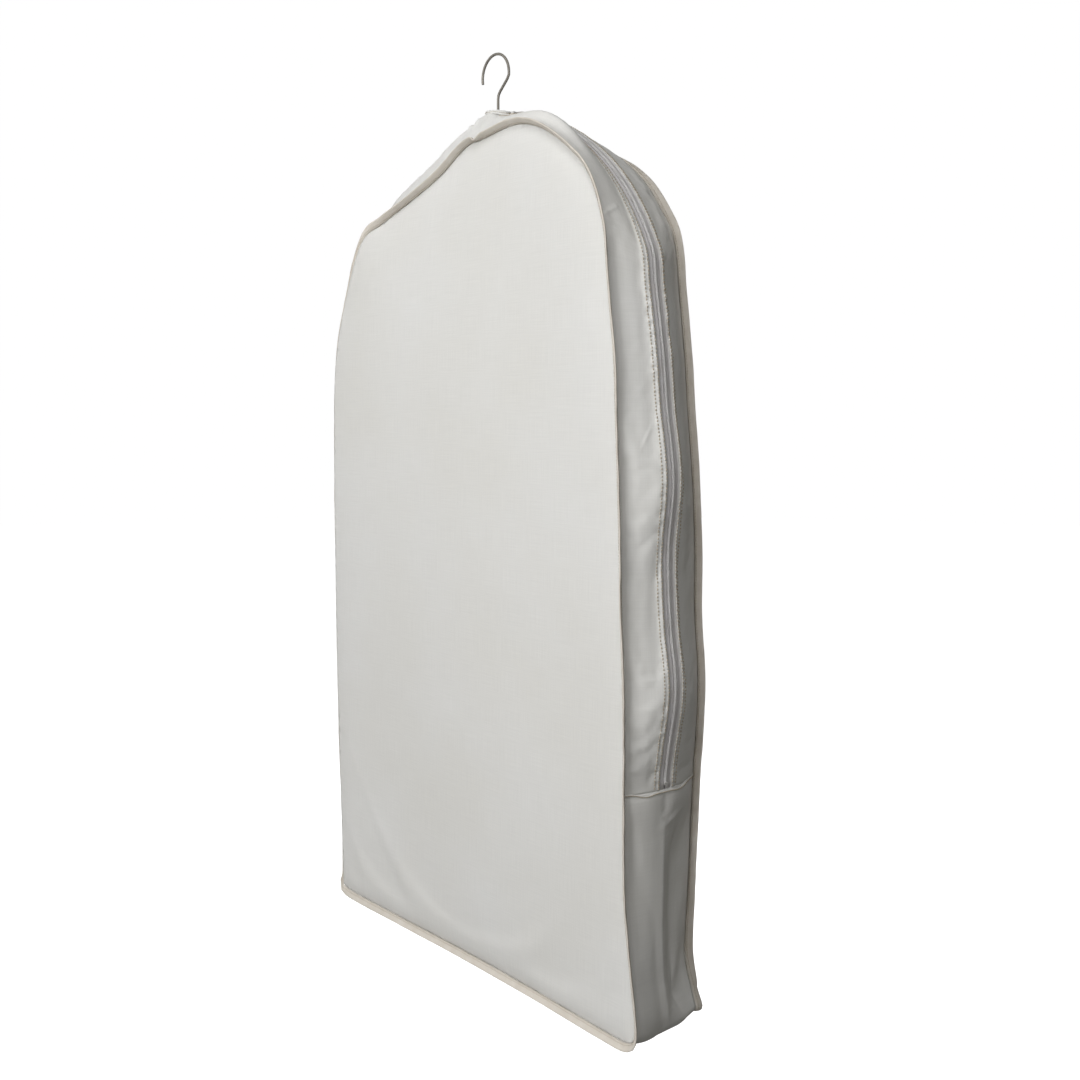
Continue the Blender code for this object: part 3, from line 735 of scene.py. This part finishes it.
BINDING_WIDTH = 0.011
BINDING_STITCH = 0.0036
STITCH_PITCH = 0.0036
THREAD = 0.00032


def binding_frames(side):
    """Along a seam: point, direction along, direction that the binding stands in, its normal."""
    seam = front_seam if side < 0 else rear_seam
    frames = []
    for index, sample in enumerate(samples):
        lean = sample.front_lean if side < 0 else sample.rear_lean
        point = seam[index]
        curl = noise.noise(Vector((point.x / 0.09, side * 5.1, point.z / 0.09)))
        flutter = noise.noise(Vector((point.x / 0.022, side * 9.7, point.z / 0.022)))
        lean = math.radians(lean + 9 * curl + 4 * flutter)
        if side < 0:
            pinch = math.exp(-((point.x - 0.016) / 0.007) ** 2) if point.z > -0.16 else 0
            lean += math.radians(38) * pinch
        tangent = (seam[(index + 1) % len(seam)] - seam[index - 1]).normalized()
        away = Vector((0, side, 0))
        outward = tangent.cross(away).normalized() * side
        stand = outward * math.cos(lean) + away * math.sin(lean)
        frames.append((point, tangent, stand, tangent.cross(stand).normalized()))
    return frames


def binding_object(name, side, frames):
    half = [(0.0004, 0.0004), (0.0021, 0.0006), (0.0024, 0.0011), (0.0030, 0.0013), (0.0036, 0.0010),
            (0.0042, 0.0013), (0.0062, 0.0012), (0.0084, 0.0012), (0.0100, 0.0010), (0.0108, 0.0006)]
    outline = half + [(BINDING_WIDTH, 0.0)] + [(reach, -thick) for reach, thick in half[::-1]]
    rows = []
    for index, (point, _, stand, normal) in enumerate(frames):
        swell = 1 + 0.10 * noise.noise(Vector((index * 0.31, side * 2.0, 0)))
        rows.append([point + stand * reach + normal * thick * swell for reach, thick in outline])
    obj = grid_object(name, rows, close_rows=True, close_sections=True)
    return smooth(close_outward(obj))


def run_lengths(line):
    """Distance from the start of a line to each of its points."""
    lengths = [0.0]
    for before, after in zip(line, line[1:]):
        lengths.append(lengths[-1] + (after - before).length)
    return lengths


def run_place(lengths, distance):
    """The stretch of the line that a distance falls in, and how far along that stretch."""
    index = min(max(int(np.searchsorted(lengths, distance)) - 1, 0), len(lengths) - 2)
    return index, (distance - lengths[index]) / max(lengths[index + 1] - lengths[index], 1e-9)


def spindle_faces(base, count):
    """Faces of a closed rod of count rings of six vertices, numbered from base."""
    faces = []
    for start in range(base, base + (count - 1) * 6, 6):
        for corner in range(6):
            a = start + corner
            b = start + (corner + 1) % 6
            faces.append((a, b, b + 6, a + 6))
    faces.append(tuple(base + corner for corner in range(6))[::-1])
    faces.append(tuple(base + (count - 1) * 6 + corner for corner in range(6)))
    return faces


def stitches(name, places, pitch=STITCH_PITCH, gap=0.22, thread=THREAD):
    """Thread dashes along a line of (point, normal): short spindles sunk at both ends."""
    line = [Vector(point) for point, _ in places]
    up = [Vector(normal) for _, normal in places]
    lengths = run_lengths(line)

    def place(distance):
        index, t = run_place(lengths, distance)
        return line[index].lerp(line[index + 1], t), up[index].lerp(up[index + 1], t)

    # share of the way along the dash, share of the thread's radius, lift in radii
    rings = ((0.0, 0.25, -0.5), (0.12, 0.8, 0.2), (0.5, 1.0, 0.6), (0.88, 0.8, 0.2), (1.0, 0.25, -0.5))
    verts, faces = [], []
    for number in range(int(lengths[-1] / pitch)):
        start = number * pitch + pitch * gap / 2
        end = start + pitch * (1 - gap)
        first, normal = place(start)
        last, _ = place(end)
        along = (last - first).normalized()
        wide = along.cross(normal).normalized()
        base = len(verts)
        for t, size, lift in rings:
            centre = first.lerp(last, t) + normal * thread * lift
            for corner in range(6):
                angle = corner * math.pi / 3
                verts.append(centre + (wide * math.cos(angle) + normal * math.sin(angle)) * thread * size)
        faces += spindle_faces(base, len(rings))
    return smooth(close_outward(mesh_object(name, verts, faces)))


bindings = {}
binding_threads = {}
for name, side in (("front", -1), ("rear", 1)):
    frames = binding_frames(side)
    bindings[name] = binding_object(f"{name}_binding_tape", side, frames)
    both = []
    for label, face in (("a", 1), ("b", -1)):
        places = [(point + stand * BINDING_STITCH + normal * face * 0.00115, normal * face)
                  for point, _, stand, normal in frames + frames[:1]]
        both.append(stitches(f"{name}_binding_stitches_{label}", places))
    binding_threads[name] = both


def surface_line(obj, points):
    """The points moved on to a surface, each with the surface's outward normal there."""
    bm = bmesh.new()
    bm.from_mesh(obj.data)
    tree = BVHTree.FromBMesh(bm)
    places = []
    for point, out in points:
        found, normal, _, _ = tree.find_nearest(point)
        if normal.dot(out) < 0:
            normal = -normal
        places.append((found + normal * 0.0005, normal))
    bm.free()
    return places


STITCH_ROWS_APART = 0.0055
SEAM_THREAD = 0.0007        # radius of the heavier thread of the zip and cross seams
zip_samples = [sample for sample in samples if sample.row <= CROSS_SEAM_ROW]
strip_threads = {}
for name, side in (("front", -1), ("rear", 1)):
    strip_threads[name] = []
    for label, reach in (("a", STITCH_REACH), ("b", STITCH_REACH + STITCH_ROWS_APART)):
        points = [(sample.middle + Vector((0, side * reach, 0)), sample.out) for sample in zip_samples]
        places = surface_line(strips[name], points)
        row = stitches(f"zip_strip_{name}_stitches_{label}", places, 0.0042, 0.38, SEAM_THREAD)
        strip_threads[name].append(row)

# ---------------------------------------------------------------- cross seam and neck hem


def fabric_roll(spine, section, seed, wobble):
    """Small roll of folded cloth along a spine of (point, side, up), with uneven fullness."""
    rows = []
    for index, (point, side, up) in enumerate(spine):
        row = []
        for number, (across, rise) in enumerate(section):
            swell = 1 + wobble * noise.noise(Vector((index * 0.35, number * 0.6, seed)))
            row.append(point + side * across * swell + up * rise * swell)
        rows.append(row)
    return rows


def cross_seam_line():
    """Where the gusset's lower piece meets the two zip strips."""
    sample = [sample for sample in samples if sample.row <= CROSS_SEAM_ROW][-1]
    front = half_rows(sample, -1)
    rear = half_rows(sample, 1)[::-1]
    line = front + rear
    return [(point, sample.out) for point in line]


def cross_seam():
    points = []
    line = cross_seam_line()
    for (a, out), (b, _) in zip(line, line[1:]):
        for step in range(4):
            points.append((a.lerp(b, step / 4), out))
    points.append(line[-1])
    spine = []
    for index, (point, out) in enumerate(points):
        t = index / (len(points) - 1)
        sag = Vector((0, 0, -0.0035 * math.sin(math.pi * t) + 0.0012 * math.sin(17 * t)))
        spine.append((point + sag, Vector((0, 0, -1)), out))
    section = [(-0.0012, 0.0001), (-0.0010, 0.0009), (0.0, 0.0013), (0.0010, 0.0012), (0.0018, 0.0007),
               (0.0020, 0.0000), (0.0010, -0.0006), (-0.0010, -0.0006)]
    rows = fabric_roll(spine, section, 3.0, 0.35)
    fold = smooth(close_outward(grid_object("cross_seam_fold", rows, close_sections=True, cap=True)))
    places = [(point + side * 0.0004 + out * 0.0016, out) for point, side, out in spine]
    return fold, stitches("cross_seam_stitches", places, pitch=0.0034, thread=SEAM_THREAD)


cross_fold, cross_thread = cross_seam()


def neck_ring(count=56):
    """Oval round the hook: point on the cloth's edge, direction out of the oval, up."""
    ring = []
    for index in range(count):
        angle = 2 * math.pi * index / count
        x = NECK_HALF_X * math.cos(angle)
        y = NECK_HALF_Y * math.sin(angle)
        side = Vector((math.cos(angle) / NECK_HALF_X, math.sin(angle) / NECK_HALF_Y, 0)).normalized()
        rise = 1.1195 + 0.0016 * bell(x, -0.019, 0.012) - 0.0022 * bell(x, 0.019, 0.008)
        rise += 0.0010 * noise.noise(Vector((x * 120, y * 120, 2.0)))
        ring.append((at(x, y, rise), side, Vector((0, 0, 1))))
    return ring


def neck_hem():
    section = [(0.0002, -0.0028), (0.0011, -0.0010), (0.0013, 0.0012), (0.0006, 0.0028), (-0.0010, 0.0034),
               (-0.0026, 0.0026), (-0.0031, 0.0008), (-0.0029, -0.0014), (-0.0022, -0.0030)]
    rows = fabric_roll(neck_ring(), section, 8.0, 0.30)
    hem = grid_object("neck_hem_roll", rows, close_rows=True, close_sections=True)
    return smooth(close_outward(hem))


hem = neck_hem()
ring = neck_ring()
hem_threads = stitches("neck_hem_stitches", [(point + side * 0.0014 + up * 0.0006, side)
                                             for point, side, up in ring + ring[:1]], pitch=0.003)

# ---------------------------------------------------------------- zip

TAPE_RISE = 0.0009          # shift of the tapes' profile out of the bag
COIL_PITCH = 0.0015
COIL_LOW = -0.0010
COIL_TOP = 0.0016


def zip_tape(name, side):
    """Woven tape with a raised cord beside the coil."""
    profile = [(0.0008, -0.0019), (0.0125, -0.0019), (0.0125, -0.0013), (0.0095, -0.0013), (0.0090, -0.0010),
               (0.0085, -0.0013), (0.0055, -0.0013), (0.0048, -0.0008), (0.0040, -0.0009), (0.0034, -0.0013),
               (0.0008, -0.0013)]
    rows = []
    for sample in zip_samples:
        rows.append([sample.middle + Vector((0, side * across, 0)) + sample.out * (lift + TAPE_RISE)
                     for across, lift in profile])
    obj = grid_object(name, rows, close_sections=True, cap=True)
    return smooth(close_outward(obj))


def along_zip():
    """Finder of places on the zip's middle line (point, direction along, out), and its length."""
    lengths = run_lengths([sample.middle for sample in zip_samples])

    def place(distance):
        index, t = run_place(lengths, distance)
        start, end = zip_samples[index], zip_samples[index + 1]
        along = (end.middle - start.middle).normalized()
        return start.middle.lerp(end.middle, t), along, start.out.lerp(end.out, t).normalized()

    return place, lengths[-1]


def zip_coil(name, side):
    """Nylon coil: one bent tooth for each turn, meshing with the other side."""
    place, total = along_zip()
    verts, faces = [], []
    shift = 0.25 if side < 0 else 0.75
    reach = ((-0.0012, 0.45), (-0.0006, 0.90), (0.0006, 1.0), (0.0018, 0.85), (0.0026, 0.55), (0.0031, 0.20))
    height = (COIL_TOP - COIL_LOW) / 2
    middle = (COIL_TOP + COIL_LOW) / 2
    wide = COIL_PITCH * 0.27
    for number in range(int(total / COIL_PITCH) - 3):
        centre, along, out = place((number + 1 + shift) * COIL_PITCH)
        base = len(verts)
        for across, size in reach:
            for corner in range(6):
                angle = corner * math.pi / 3 + math.pi / 6
                verts.append(centre + Vector((0, side * across, 0))
                             + along * math.cos(angle) * wide * min(1, size + 0.2)
                             + out * (middle + math.sin(angle) * height * size))
        faces += spindle_faces(base, len(reach))
    return smooth(close_outward(mesh_object(name, verts, faces)))


tapes = {}
coils = {}
for name, side in (("front", -1), ("rear", 1)):
    tapes[name] = zip_tape(f"zip_tape_{name}_woven", side)
    coils[name] = zip_coil(f"zip_coil_{name}_teeth", side)

# ---------------------------------------------------------------- slider and pull

SLIDER_DEG = 7.3
PLATE_RISE = 0.0011
PLATE = 0.0012
PIVOT_RISE = PLATE_RISE + PLATE + 0.0018


def slider_matrix():
    return Matrix.Translation(arc_point(SLIDER_DEG)) @ Matrix.Rotation(math.radians(SLIDER_DEG), 4, "Y")


def soft_block(bm, outline, low, high, edge):
    """Add a flat block with rounded edges from an outline."""
    verts = [bm.verts.new((x, y, low)) for x, y in outline]
    face = bm.faces.new(verts)
    made = bmesh.ops.extrude_face_region(bm, geom=[face])
    tops = [item for item in made["geom"] if isinstance(item, bmesh.types.BMVert)]
    bmesh.ops.translate(bm, verts=tops, vec=(0, 0, high - low))
    rims = {line for vert in verts + tops for line in vert.link_edges}
    sharp = [line for line in rims if abs(line.verts[0].co.z - line.verts[1].co.z) < 1e-6]
    bmesh.ops.bevel(bm, geom=sharp, offset=edge, segments=2, affect="EDGES", clamp_overlap=True)


def metal_object(name, bm):
    bmesh.ops.recalc_face_normals(bm, faces=bm.faces)
    mesh = bpy.data.meshes.new(name)
    bm.to_mesh(mesh)
    bm.free()
    mesh.transform(slider_matrix())
    mesh.shade_smooth()
    mesh.set_sharp_from_angle(angle=math.radians(40))
    return link(bpy.data.objects.new(name, mesh))


def ring_outline(half_x, half_y, power, count=28):
    """Superellipse: power 2 is an ellipse, higher is squarer."""
    outline = []
    for index in range(count):
        angle = 2 * math.pi * index / count
        c, s = math.cos(angle), math.sin(angle)
        outline.append((half_x * math.copysign(abs(c) ** (2 / power), c),
                        half_y * math.copysign(abs(s) ** (2 / power), s)))
    return outline


def add_bar(bm, path, half_width, half_thick, axis):
    """Flat bar with a rounded section swept along a path in the slider's XZ plane."""
    section = ring_outline(half_width, half_thick, 4, 12)
    rings = []
    for index, point in enumerate(path):
        before = Vector(path[max(index - 1, 0)])
        after = Vector(path[min(index + 1, len(path) - 1)])
        up = (after - before).normalized().cross(axis).normalized()
        rings.append([bm.verts.new(Vector(point) + axis * a + up * b) for a, b in section])
    for first, second in zip(rings, rings[1:]):
        for index in range(len(section)):
            after = (index + 1) % len(section)
            bm.faces.new((first[index], first[after], second[after], second[index]))
    bm.faces.new(rings[0])
    bm.faces.new(rings[-1][::-1])


def make_slider():
    bm = bmesh.new()
    soft_block(bm, ring_outline(0.0070, 0.00475, 3.2), PLATE_RISE, PLATE_RISE + PLATE, 0.0004)
    soft_block(bm, ring_outline(0.0070, 0.00475, 3.2), -0.0041, -0.0029, 0.0004)
    soft_block(bm, [(x - 0.004, y) for x, y in ring_outline(0.002, 0.0006, 4, 16)], -0.0030, 0.0012, 0.0001)
    axis = Vector((0, 1, 0))
    for side in (-1, 1):
        lug = [(-0.001 + x, side * 0.0034 + y) for x, y in ring_outline(0.0025, 0.0005, 6, 16)]
        soft_block(bm, lug, PLATE_RISE + PLATE - 0.0002, PIVOT_RISE + 0.0012, 0.00025)
    add_bar(bm, [(-0.001, y, PIVOT_RISE) for y in (-0.0035, 0, 0.0035)], 0.0006, 0.0006, Vector((1, 0, 0)))
    for side in (-1, 1):
        rim = [(-0.0055, side * 0.0042), (0.0, side * 0.0044), (0.0055, side * 0.0042)]
        add_bar(bm, [(x, y, PLATE_RISE - 0.0001) for x, y in rim], 0.0004, 0.0005, axis)
    return metal_object("zip_slider_body", bm)


def make_pull():
    bm = bmesh.new()
    axis = Vector((0, 1, 0))
    loop = []
    for index in range(17):
        angle = 2 * math.pi * index / 16
        loop.append((-0.001 + 0.0013 * math.cos(angle), 0, PIVOT_RISE + 0.0013 * math.sin(angle)))
    add_bar(bm, loop, 0.0022, 0.0004, axis)
    tab = [(0.0096 + x, y) for x, y in ring_outline(0.0090, 0.0026, 3.5, 32)]
    soft_block(bm, tab, PIVOT_RISE - 0.0005, PIVOT_RISE + 0.0005, 0.0003)
    grip = [(0.0140 + x, y) for x, y in ring_outline(0.0035, 0.0017, 3.0, 24)]
    soft_block(bm, grip, PIVOT_RISE + 0.0003, PIVOT_RISE + 0.0008, 0.0002)
    return metal_object("zip_pull_tab", bm)


slider = make_slider()
pull = make_pull()

# ---------------------------------------------------------------- materials


WHITE = (1.0, 1.0, 1.0)


class Surface:
    """A Principled material, built node by node."""

    def __init__(self, name, colour, roughness, metallic=0.0):
        self.material = bpy.data.materials.new(name)
        self.material.use_nodes = True
        self.tree = self.material.node_tree
        self.shader = self.tree.nodes["Principled BSDF"]
        self.shader.inputs["Base Color"].default_value = (*colour, 1)
        self.shader.inputs["Roughness"].default_value = roughness
        self.shader.inputs["Metallic"].default_value = metallic

    def add(self, kind, inputs=None, output=0, **settings):
        node = self.tree.nodes.new("ShaderNode" + kind)
        for key, value in settings.items():
            setattr(node, key, value)
        for key, value in (inputs or {}).items():
            if isinstance(value, bpy.types.NodeSocket):
                self.tree.links.new(value, node.inputs[key])
            else:
                node.inputs[key].default_value = value
        return node.outputs[output]

    def math(self, operation, a, b=0.0):
        return self.add("Math", {0: a, 1: b}, operation=operation)

    def wave(self, value, pitch):
        return self.math("SINE", self.math("MULTIPLY", value, 2 * math.pi / pitch))

    def noise(self, vector, scale, detail=2.0, stretch=(1, 1, 1)):
        mapped = self.add("Mapping", {"Vector": vector, "Scale": stretch})
        return self.add("TexNoise", {"Vector": mapped, "Scale": scale, "Detail": detail})

    def ramp(self, value, low, high, start, end):
        """start colour below low, end colour above high."""
        node = self.tree.nodes.new("ShaderNodeValToRGB")
        self.tree.links.new(value, node.inputs[0])
        node.color_ramp.elements[0].position = low
        node.color_ramp.elements[0].color = (*start, 1)
        node.color_ramp.elements[1].position = high
        node.color_ramp.elements[1].color = (*end, 1)
        return node.outputs[0]

    def blend(self, a, b):
        """Two colours multiplied."""
        node = self.tree.nodes.new("ShaderNodeMix")
        node.data_type = "RGBA"
        node.blend_type = "MULTIPLY"
        for value, socket in ((1.0, node.inputs[0]), (a, node.inputs[6]), (b, node.inputs[7])):
            if isinstance(value, bpy.types.NodeSocket):
                self.tree.links.new(value, socket)
            else:
                socket.default_value = value
        return node.outputs[2]

    def colour(self, socket):
        self.tree.links.new(socket, self.shader.inputs["Base Color"])

    def tinted(self, shade, colour):
        """The colour, darkened by shade where that is below white."""
        return self.blend(shade, (*colour, 1))

    def solid_place(self):
        """The piece's own coordinates in metres."""
        return self.add("TexCoord", output=3)

    def map_place(self):
        """The piece's map in metres: the place on it, its run along the cloth and across."""
        place = self.add("UVMap", uv_map="weave")
        split = self.tree.nodes.new("ShaderNodeSeparateXYZ")
        self.tree.links.new(place, split.inputs[0])
        return place, split.outputs[0], split.outputs[1]

    def finish(self, **values):
        """Constants on the shader itself, each named with _ for the spaces."""
        for name, value in values.items():
            self.shader.inputs[name.replace("_", " ")].default_value = value
        return self.material

    def rough(self, socket):
        self.tree.links.new(socket, self.shader.inputs["Roughness"])

    def bump(self, *layers):
        """Stack (height, strength, distance) layers into the shader's normal."""
        normal = None
        for height, strength, distance in layers:
            inputs = {"Height": height, "Strength": strength, "Distance": distance}
            if normal is not None:
                inputs["Normal"] = normal
            normal = self.add("Bump", inputs)
        self.tree.links.new(normal, self.shader.inputs["Normal"])


def woven(name, colour, pitch, slub, seed=0.0):
    """Plain weave of slightly uneven yarns, from the piece's map in metres."""
    surface = Surface(name, colour, 0.92)
    place, along, across = surface.map_place()
    weave = surface.math("MULTIPLY", surface.wave(along, pitch), surface.wave(across, pitch))
    warp_slub = surface.noise(place, 1.0, 2.0, (22, 950, 1))
    weft_slub = surface.noise(place, 1.0, 2.0, (950, 22, 1))
    slubs = surface.math("MULTIPLY", surface.math("ADD", warp_slub, weft_slub), 0.5)
    mottle = surface.noise(surface.solid_place(), 5.0 + seed, 3.0)
    light = surface.ramp(slubs, 0.36, 0.64, (1 - slub,) * 3, WHITE)
    tint = surface.ramp(mottle, 0.35, 0.65, (0.975, 0.970, 0.955), WHITE)
    surface.colour(surface.blend(surface.tinted(light, colour), tint))
    surface.bump((weave, 0.35, 0.00012), (slubs, 0.30, 0.00045))
    return surface.finish(Sheen_Weight=0.12, Sheen_Roughness=0.5, Specular_IOR_Level=0.25)


def ribbed(name, colour, rib_along, rib_across):
    """Narrow woven tape with slanting ribs, that far apart along it and across it."""
    surface = Surface(name, colour, 0.88)
    _, along, across = surface.map_place()
    twill = surface.math("ADD", surface.math("MULTIPLY", along, 1 / rib_along),
                         surface.math("MULTIPLY", across, 1 / rib_across))
    ribs = surface.math("SINE", surface.math("MULTIPLY", twill, 2 * math.pi))
    uneven = surface.noise(surface.solid_place(), 60.0, 3.0)
    surface.colour(surface.tinted(surface.ramp(uneven, 0.3, 0.7, (0.90, 0.885, 0.86), WHITE), colour))
    surface.bump((ribs, 0.30, 0.00015), (uneven, 0.25, 0.0004))
    return surface.finish(Sheen_Weight=0.1, Specular_IOR_Level=0.25)


def thread_material(name, colour):
    """Twisted cotton thread with a fine fuzz."""
    surface = Surface(name, colour, 0.7)
    fuzz = surface.noise(surface.solid_place(), 900.0)
    surface.colour(surface.tinted(surface.ramp(fuzz, 0.3, 0.7, (0.85,) * 3, WHITE), colour))
    surface.bump((fuzz, 0.4, 0.0002))
    return surface.finish(Sheen_Weight=0.15)


def nylon(name, colour):
    """Moulded nylon, slightly uneven in shade and gloss."""
    surface = Surface(name, colour, 0.42)
    fuzz = surface.noise(surface.solid_place(), 400.0)
    surface.colour(surface.tinted(surface.ramp(fuzz, 0.3, 0.7, (0.93,) * 3, WHITE), colour))
    surface.rough(surface.ramp(fuzz, 0.3, 0.7, (0.36,) * 3, (0.50,) * 3))
    surface.bump((fuzz, 0.15, 0.0001))
    return surface.material


def aged_metal(name, colour):
    """Worn plating: darker, duller patches, and fine lines from the wire drawing."""
    surface = Surface(name, colour, 0.50, 0.25)
    place = surface.solid_place()
    patches = surface.noise(place, 60.0, 3.0)
    lines = surface.noise(place, 1.0, 2.0, (900, 900, 60))
    tarnish = tuple(value * 0.88 for value in colour)
    surface.colour(surface.ramp(patches, 0.38, 0.62, tarnish, colour))
    surface.rough(surface.ramp(patches, 0.30, 0.70, (0.60,) * 3, (0.48,) * 3))
    surface.bump((lines, 0.01, 0.00002))
    return surface.material


def varnished_wood(name, light, dark):
    """Grain and rings along X under a clear coat."""
    surface = Surface(name, light, 0.35)
    place = surface.solid_place()
    drift = surface.noise(place, 9.0, 3.0, (1, 3, 3))
    grain = surface.noise(place, 1.0, 5.0, (14, 260, 260))
    rings = surface.math("SINE", surface.math("MULTIPLY", drift, 42.0))
    rings = surface.math("MULTIPLY_ADD", rings, 0.2)
    mixed = surface.math("ADD", grain, rings)
    surface.colour(surface.ramp(mixed, 0.30, 0.75, dark, light))
    surface.bump((grain, 0.15, 0.0003))
    return surface.finish(Coat_Weight=0.5, Coat_Roughness=0.15)


YARN_PITCH = 0.0009
YARN_SHADE = 0.055          # how much darker the thin yarns are
CANVAS = (0.800, 0.798, 0.780)
TAPE = (0.745, 0.700, 0.635)
ZIP_CLOTH = (0.770, 0.755, 0.775)
COIL = (0.930, 0.920, 0.915)
THREAD_COLOUR = (0.480, 0.410, 0.310)
NICKEL = (0.270, 0.250, 0.220)
ZIP_METAL = (0.700, 0.690, 0.670)

canvas = woven("cotton canvas", CANVAS, YARN_PITCH, YARN_SHADE)
canvas_hem = woven("canvas hem", CANVAS, YARN_PITCH, YARN_SHADE, seed=2.0)
binding_cloth = ribbed("cotton binding tape", TAPE, 0.0016, 0.0016)
zip_cloth = ribbed("zip tape weave", ZIP_CLOTH, 0.0012, 0.0009)
coil_nylon = nylon("zip coil nylon", COIL)
thread = thread_material("sewing thread", THREAD_COLOUR)
nickel = aged_metal("antique nickel", NICKEL)
zip_metal = aged_metal("worn zip nickel", ZIP_METAL)
wood = varnished_wood("beech", (0.52, 0.34, 0.19), (0.34, 0.20, 0.10))

# ---------------------------------------------------------------- bodies and material slots


def dress(obj, material, body="bag", replaces=()):
    """Give a piece its material, the body it rides on and the nodes it stands for."""
    obj.data.materials.clear()
    obj.data.materials.append(material)
    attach(obj, body)
    if replaces:
        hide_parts(*replaces)


for obj, node in ((front_panel, "front_panel"), (rear_panel, "rear_panel"), (gusset, "gusset_main"),
                  (strips["front"], "zip_strip_front"), (strips["rear"], "zip_strip_rear")):
    dress(obj, canvas, replaces=[node])
    smooth(obj)
    thicken(obj)
dress(hem, canvas_hem, replaces=["neck_hem"])
dress(cross_fold, canvas_hem)
for name in ("front", "rear"):
    dress(bindings[name], binding_cloth, replaces=[f"{name}_binding"])
    dress(tapes[name], zip_cloth, replaces=[f"zip_tape_{name}"])
    dress(coils[name], coil_nylon, replaces=[f"zip_coil_{name}"])
    for obj in binding_threads[name] + strip_threads[name]:
        dress(obj, thread)
for obj in (cross_thread, hem_threads):
    dress(obj, thread)
dress(slider, zip_metal, "slider", ["zip_slider"])
dress(pull, zip_metal, "pull", ["zip_pull"])

for node, material in (("hanger_hook", nickel), ("hook_ferrule", nickel), ("wooden_hanger", wood),
                       ("zip_top_stop_front", zip_metal), ("zip_top_stop_rear", zip_metal),
                       ("zip_bottom_stop", zip_metal)):
    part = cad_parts[node]
    for index in range(len(part.material_slots)):
        part.material_slots[index].material = material
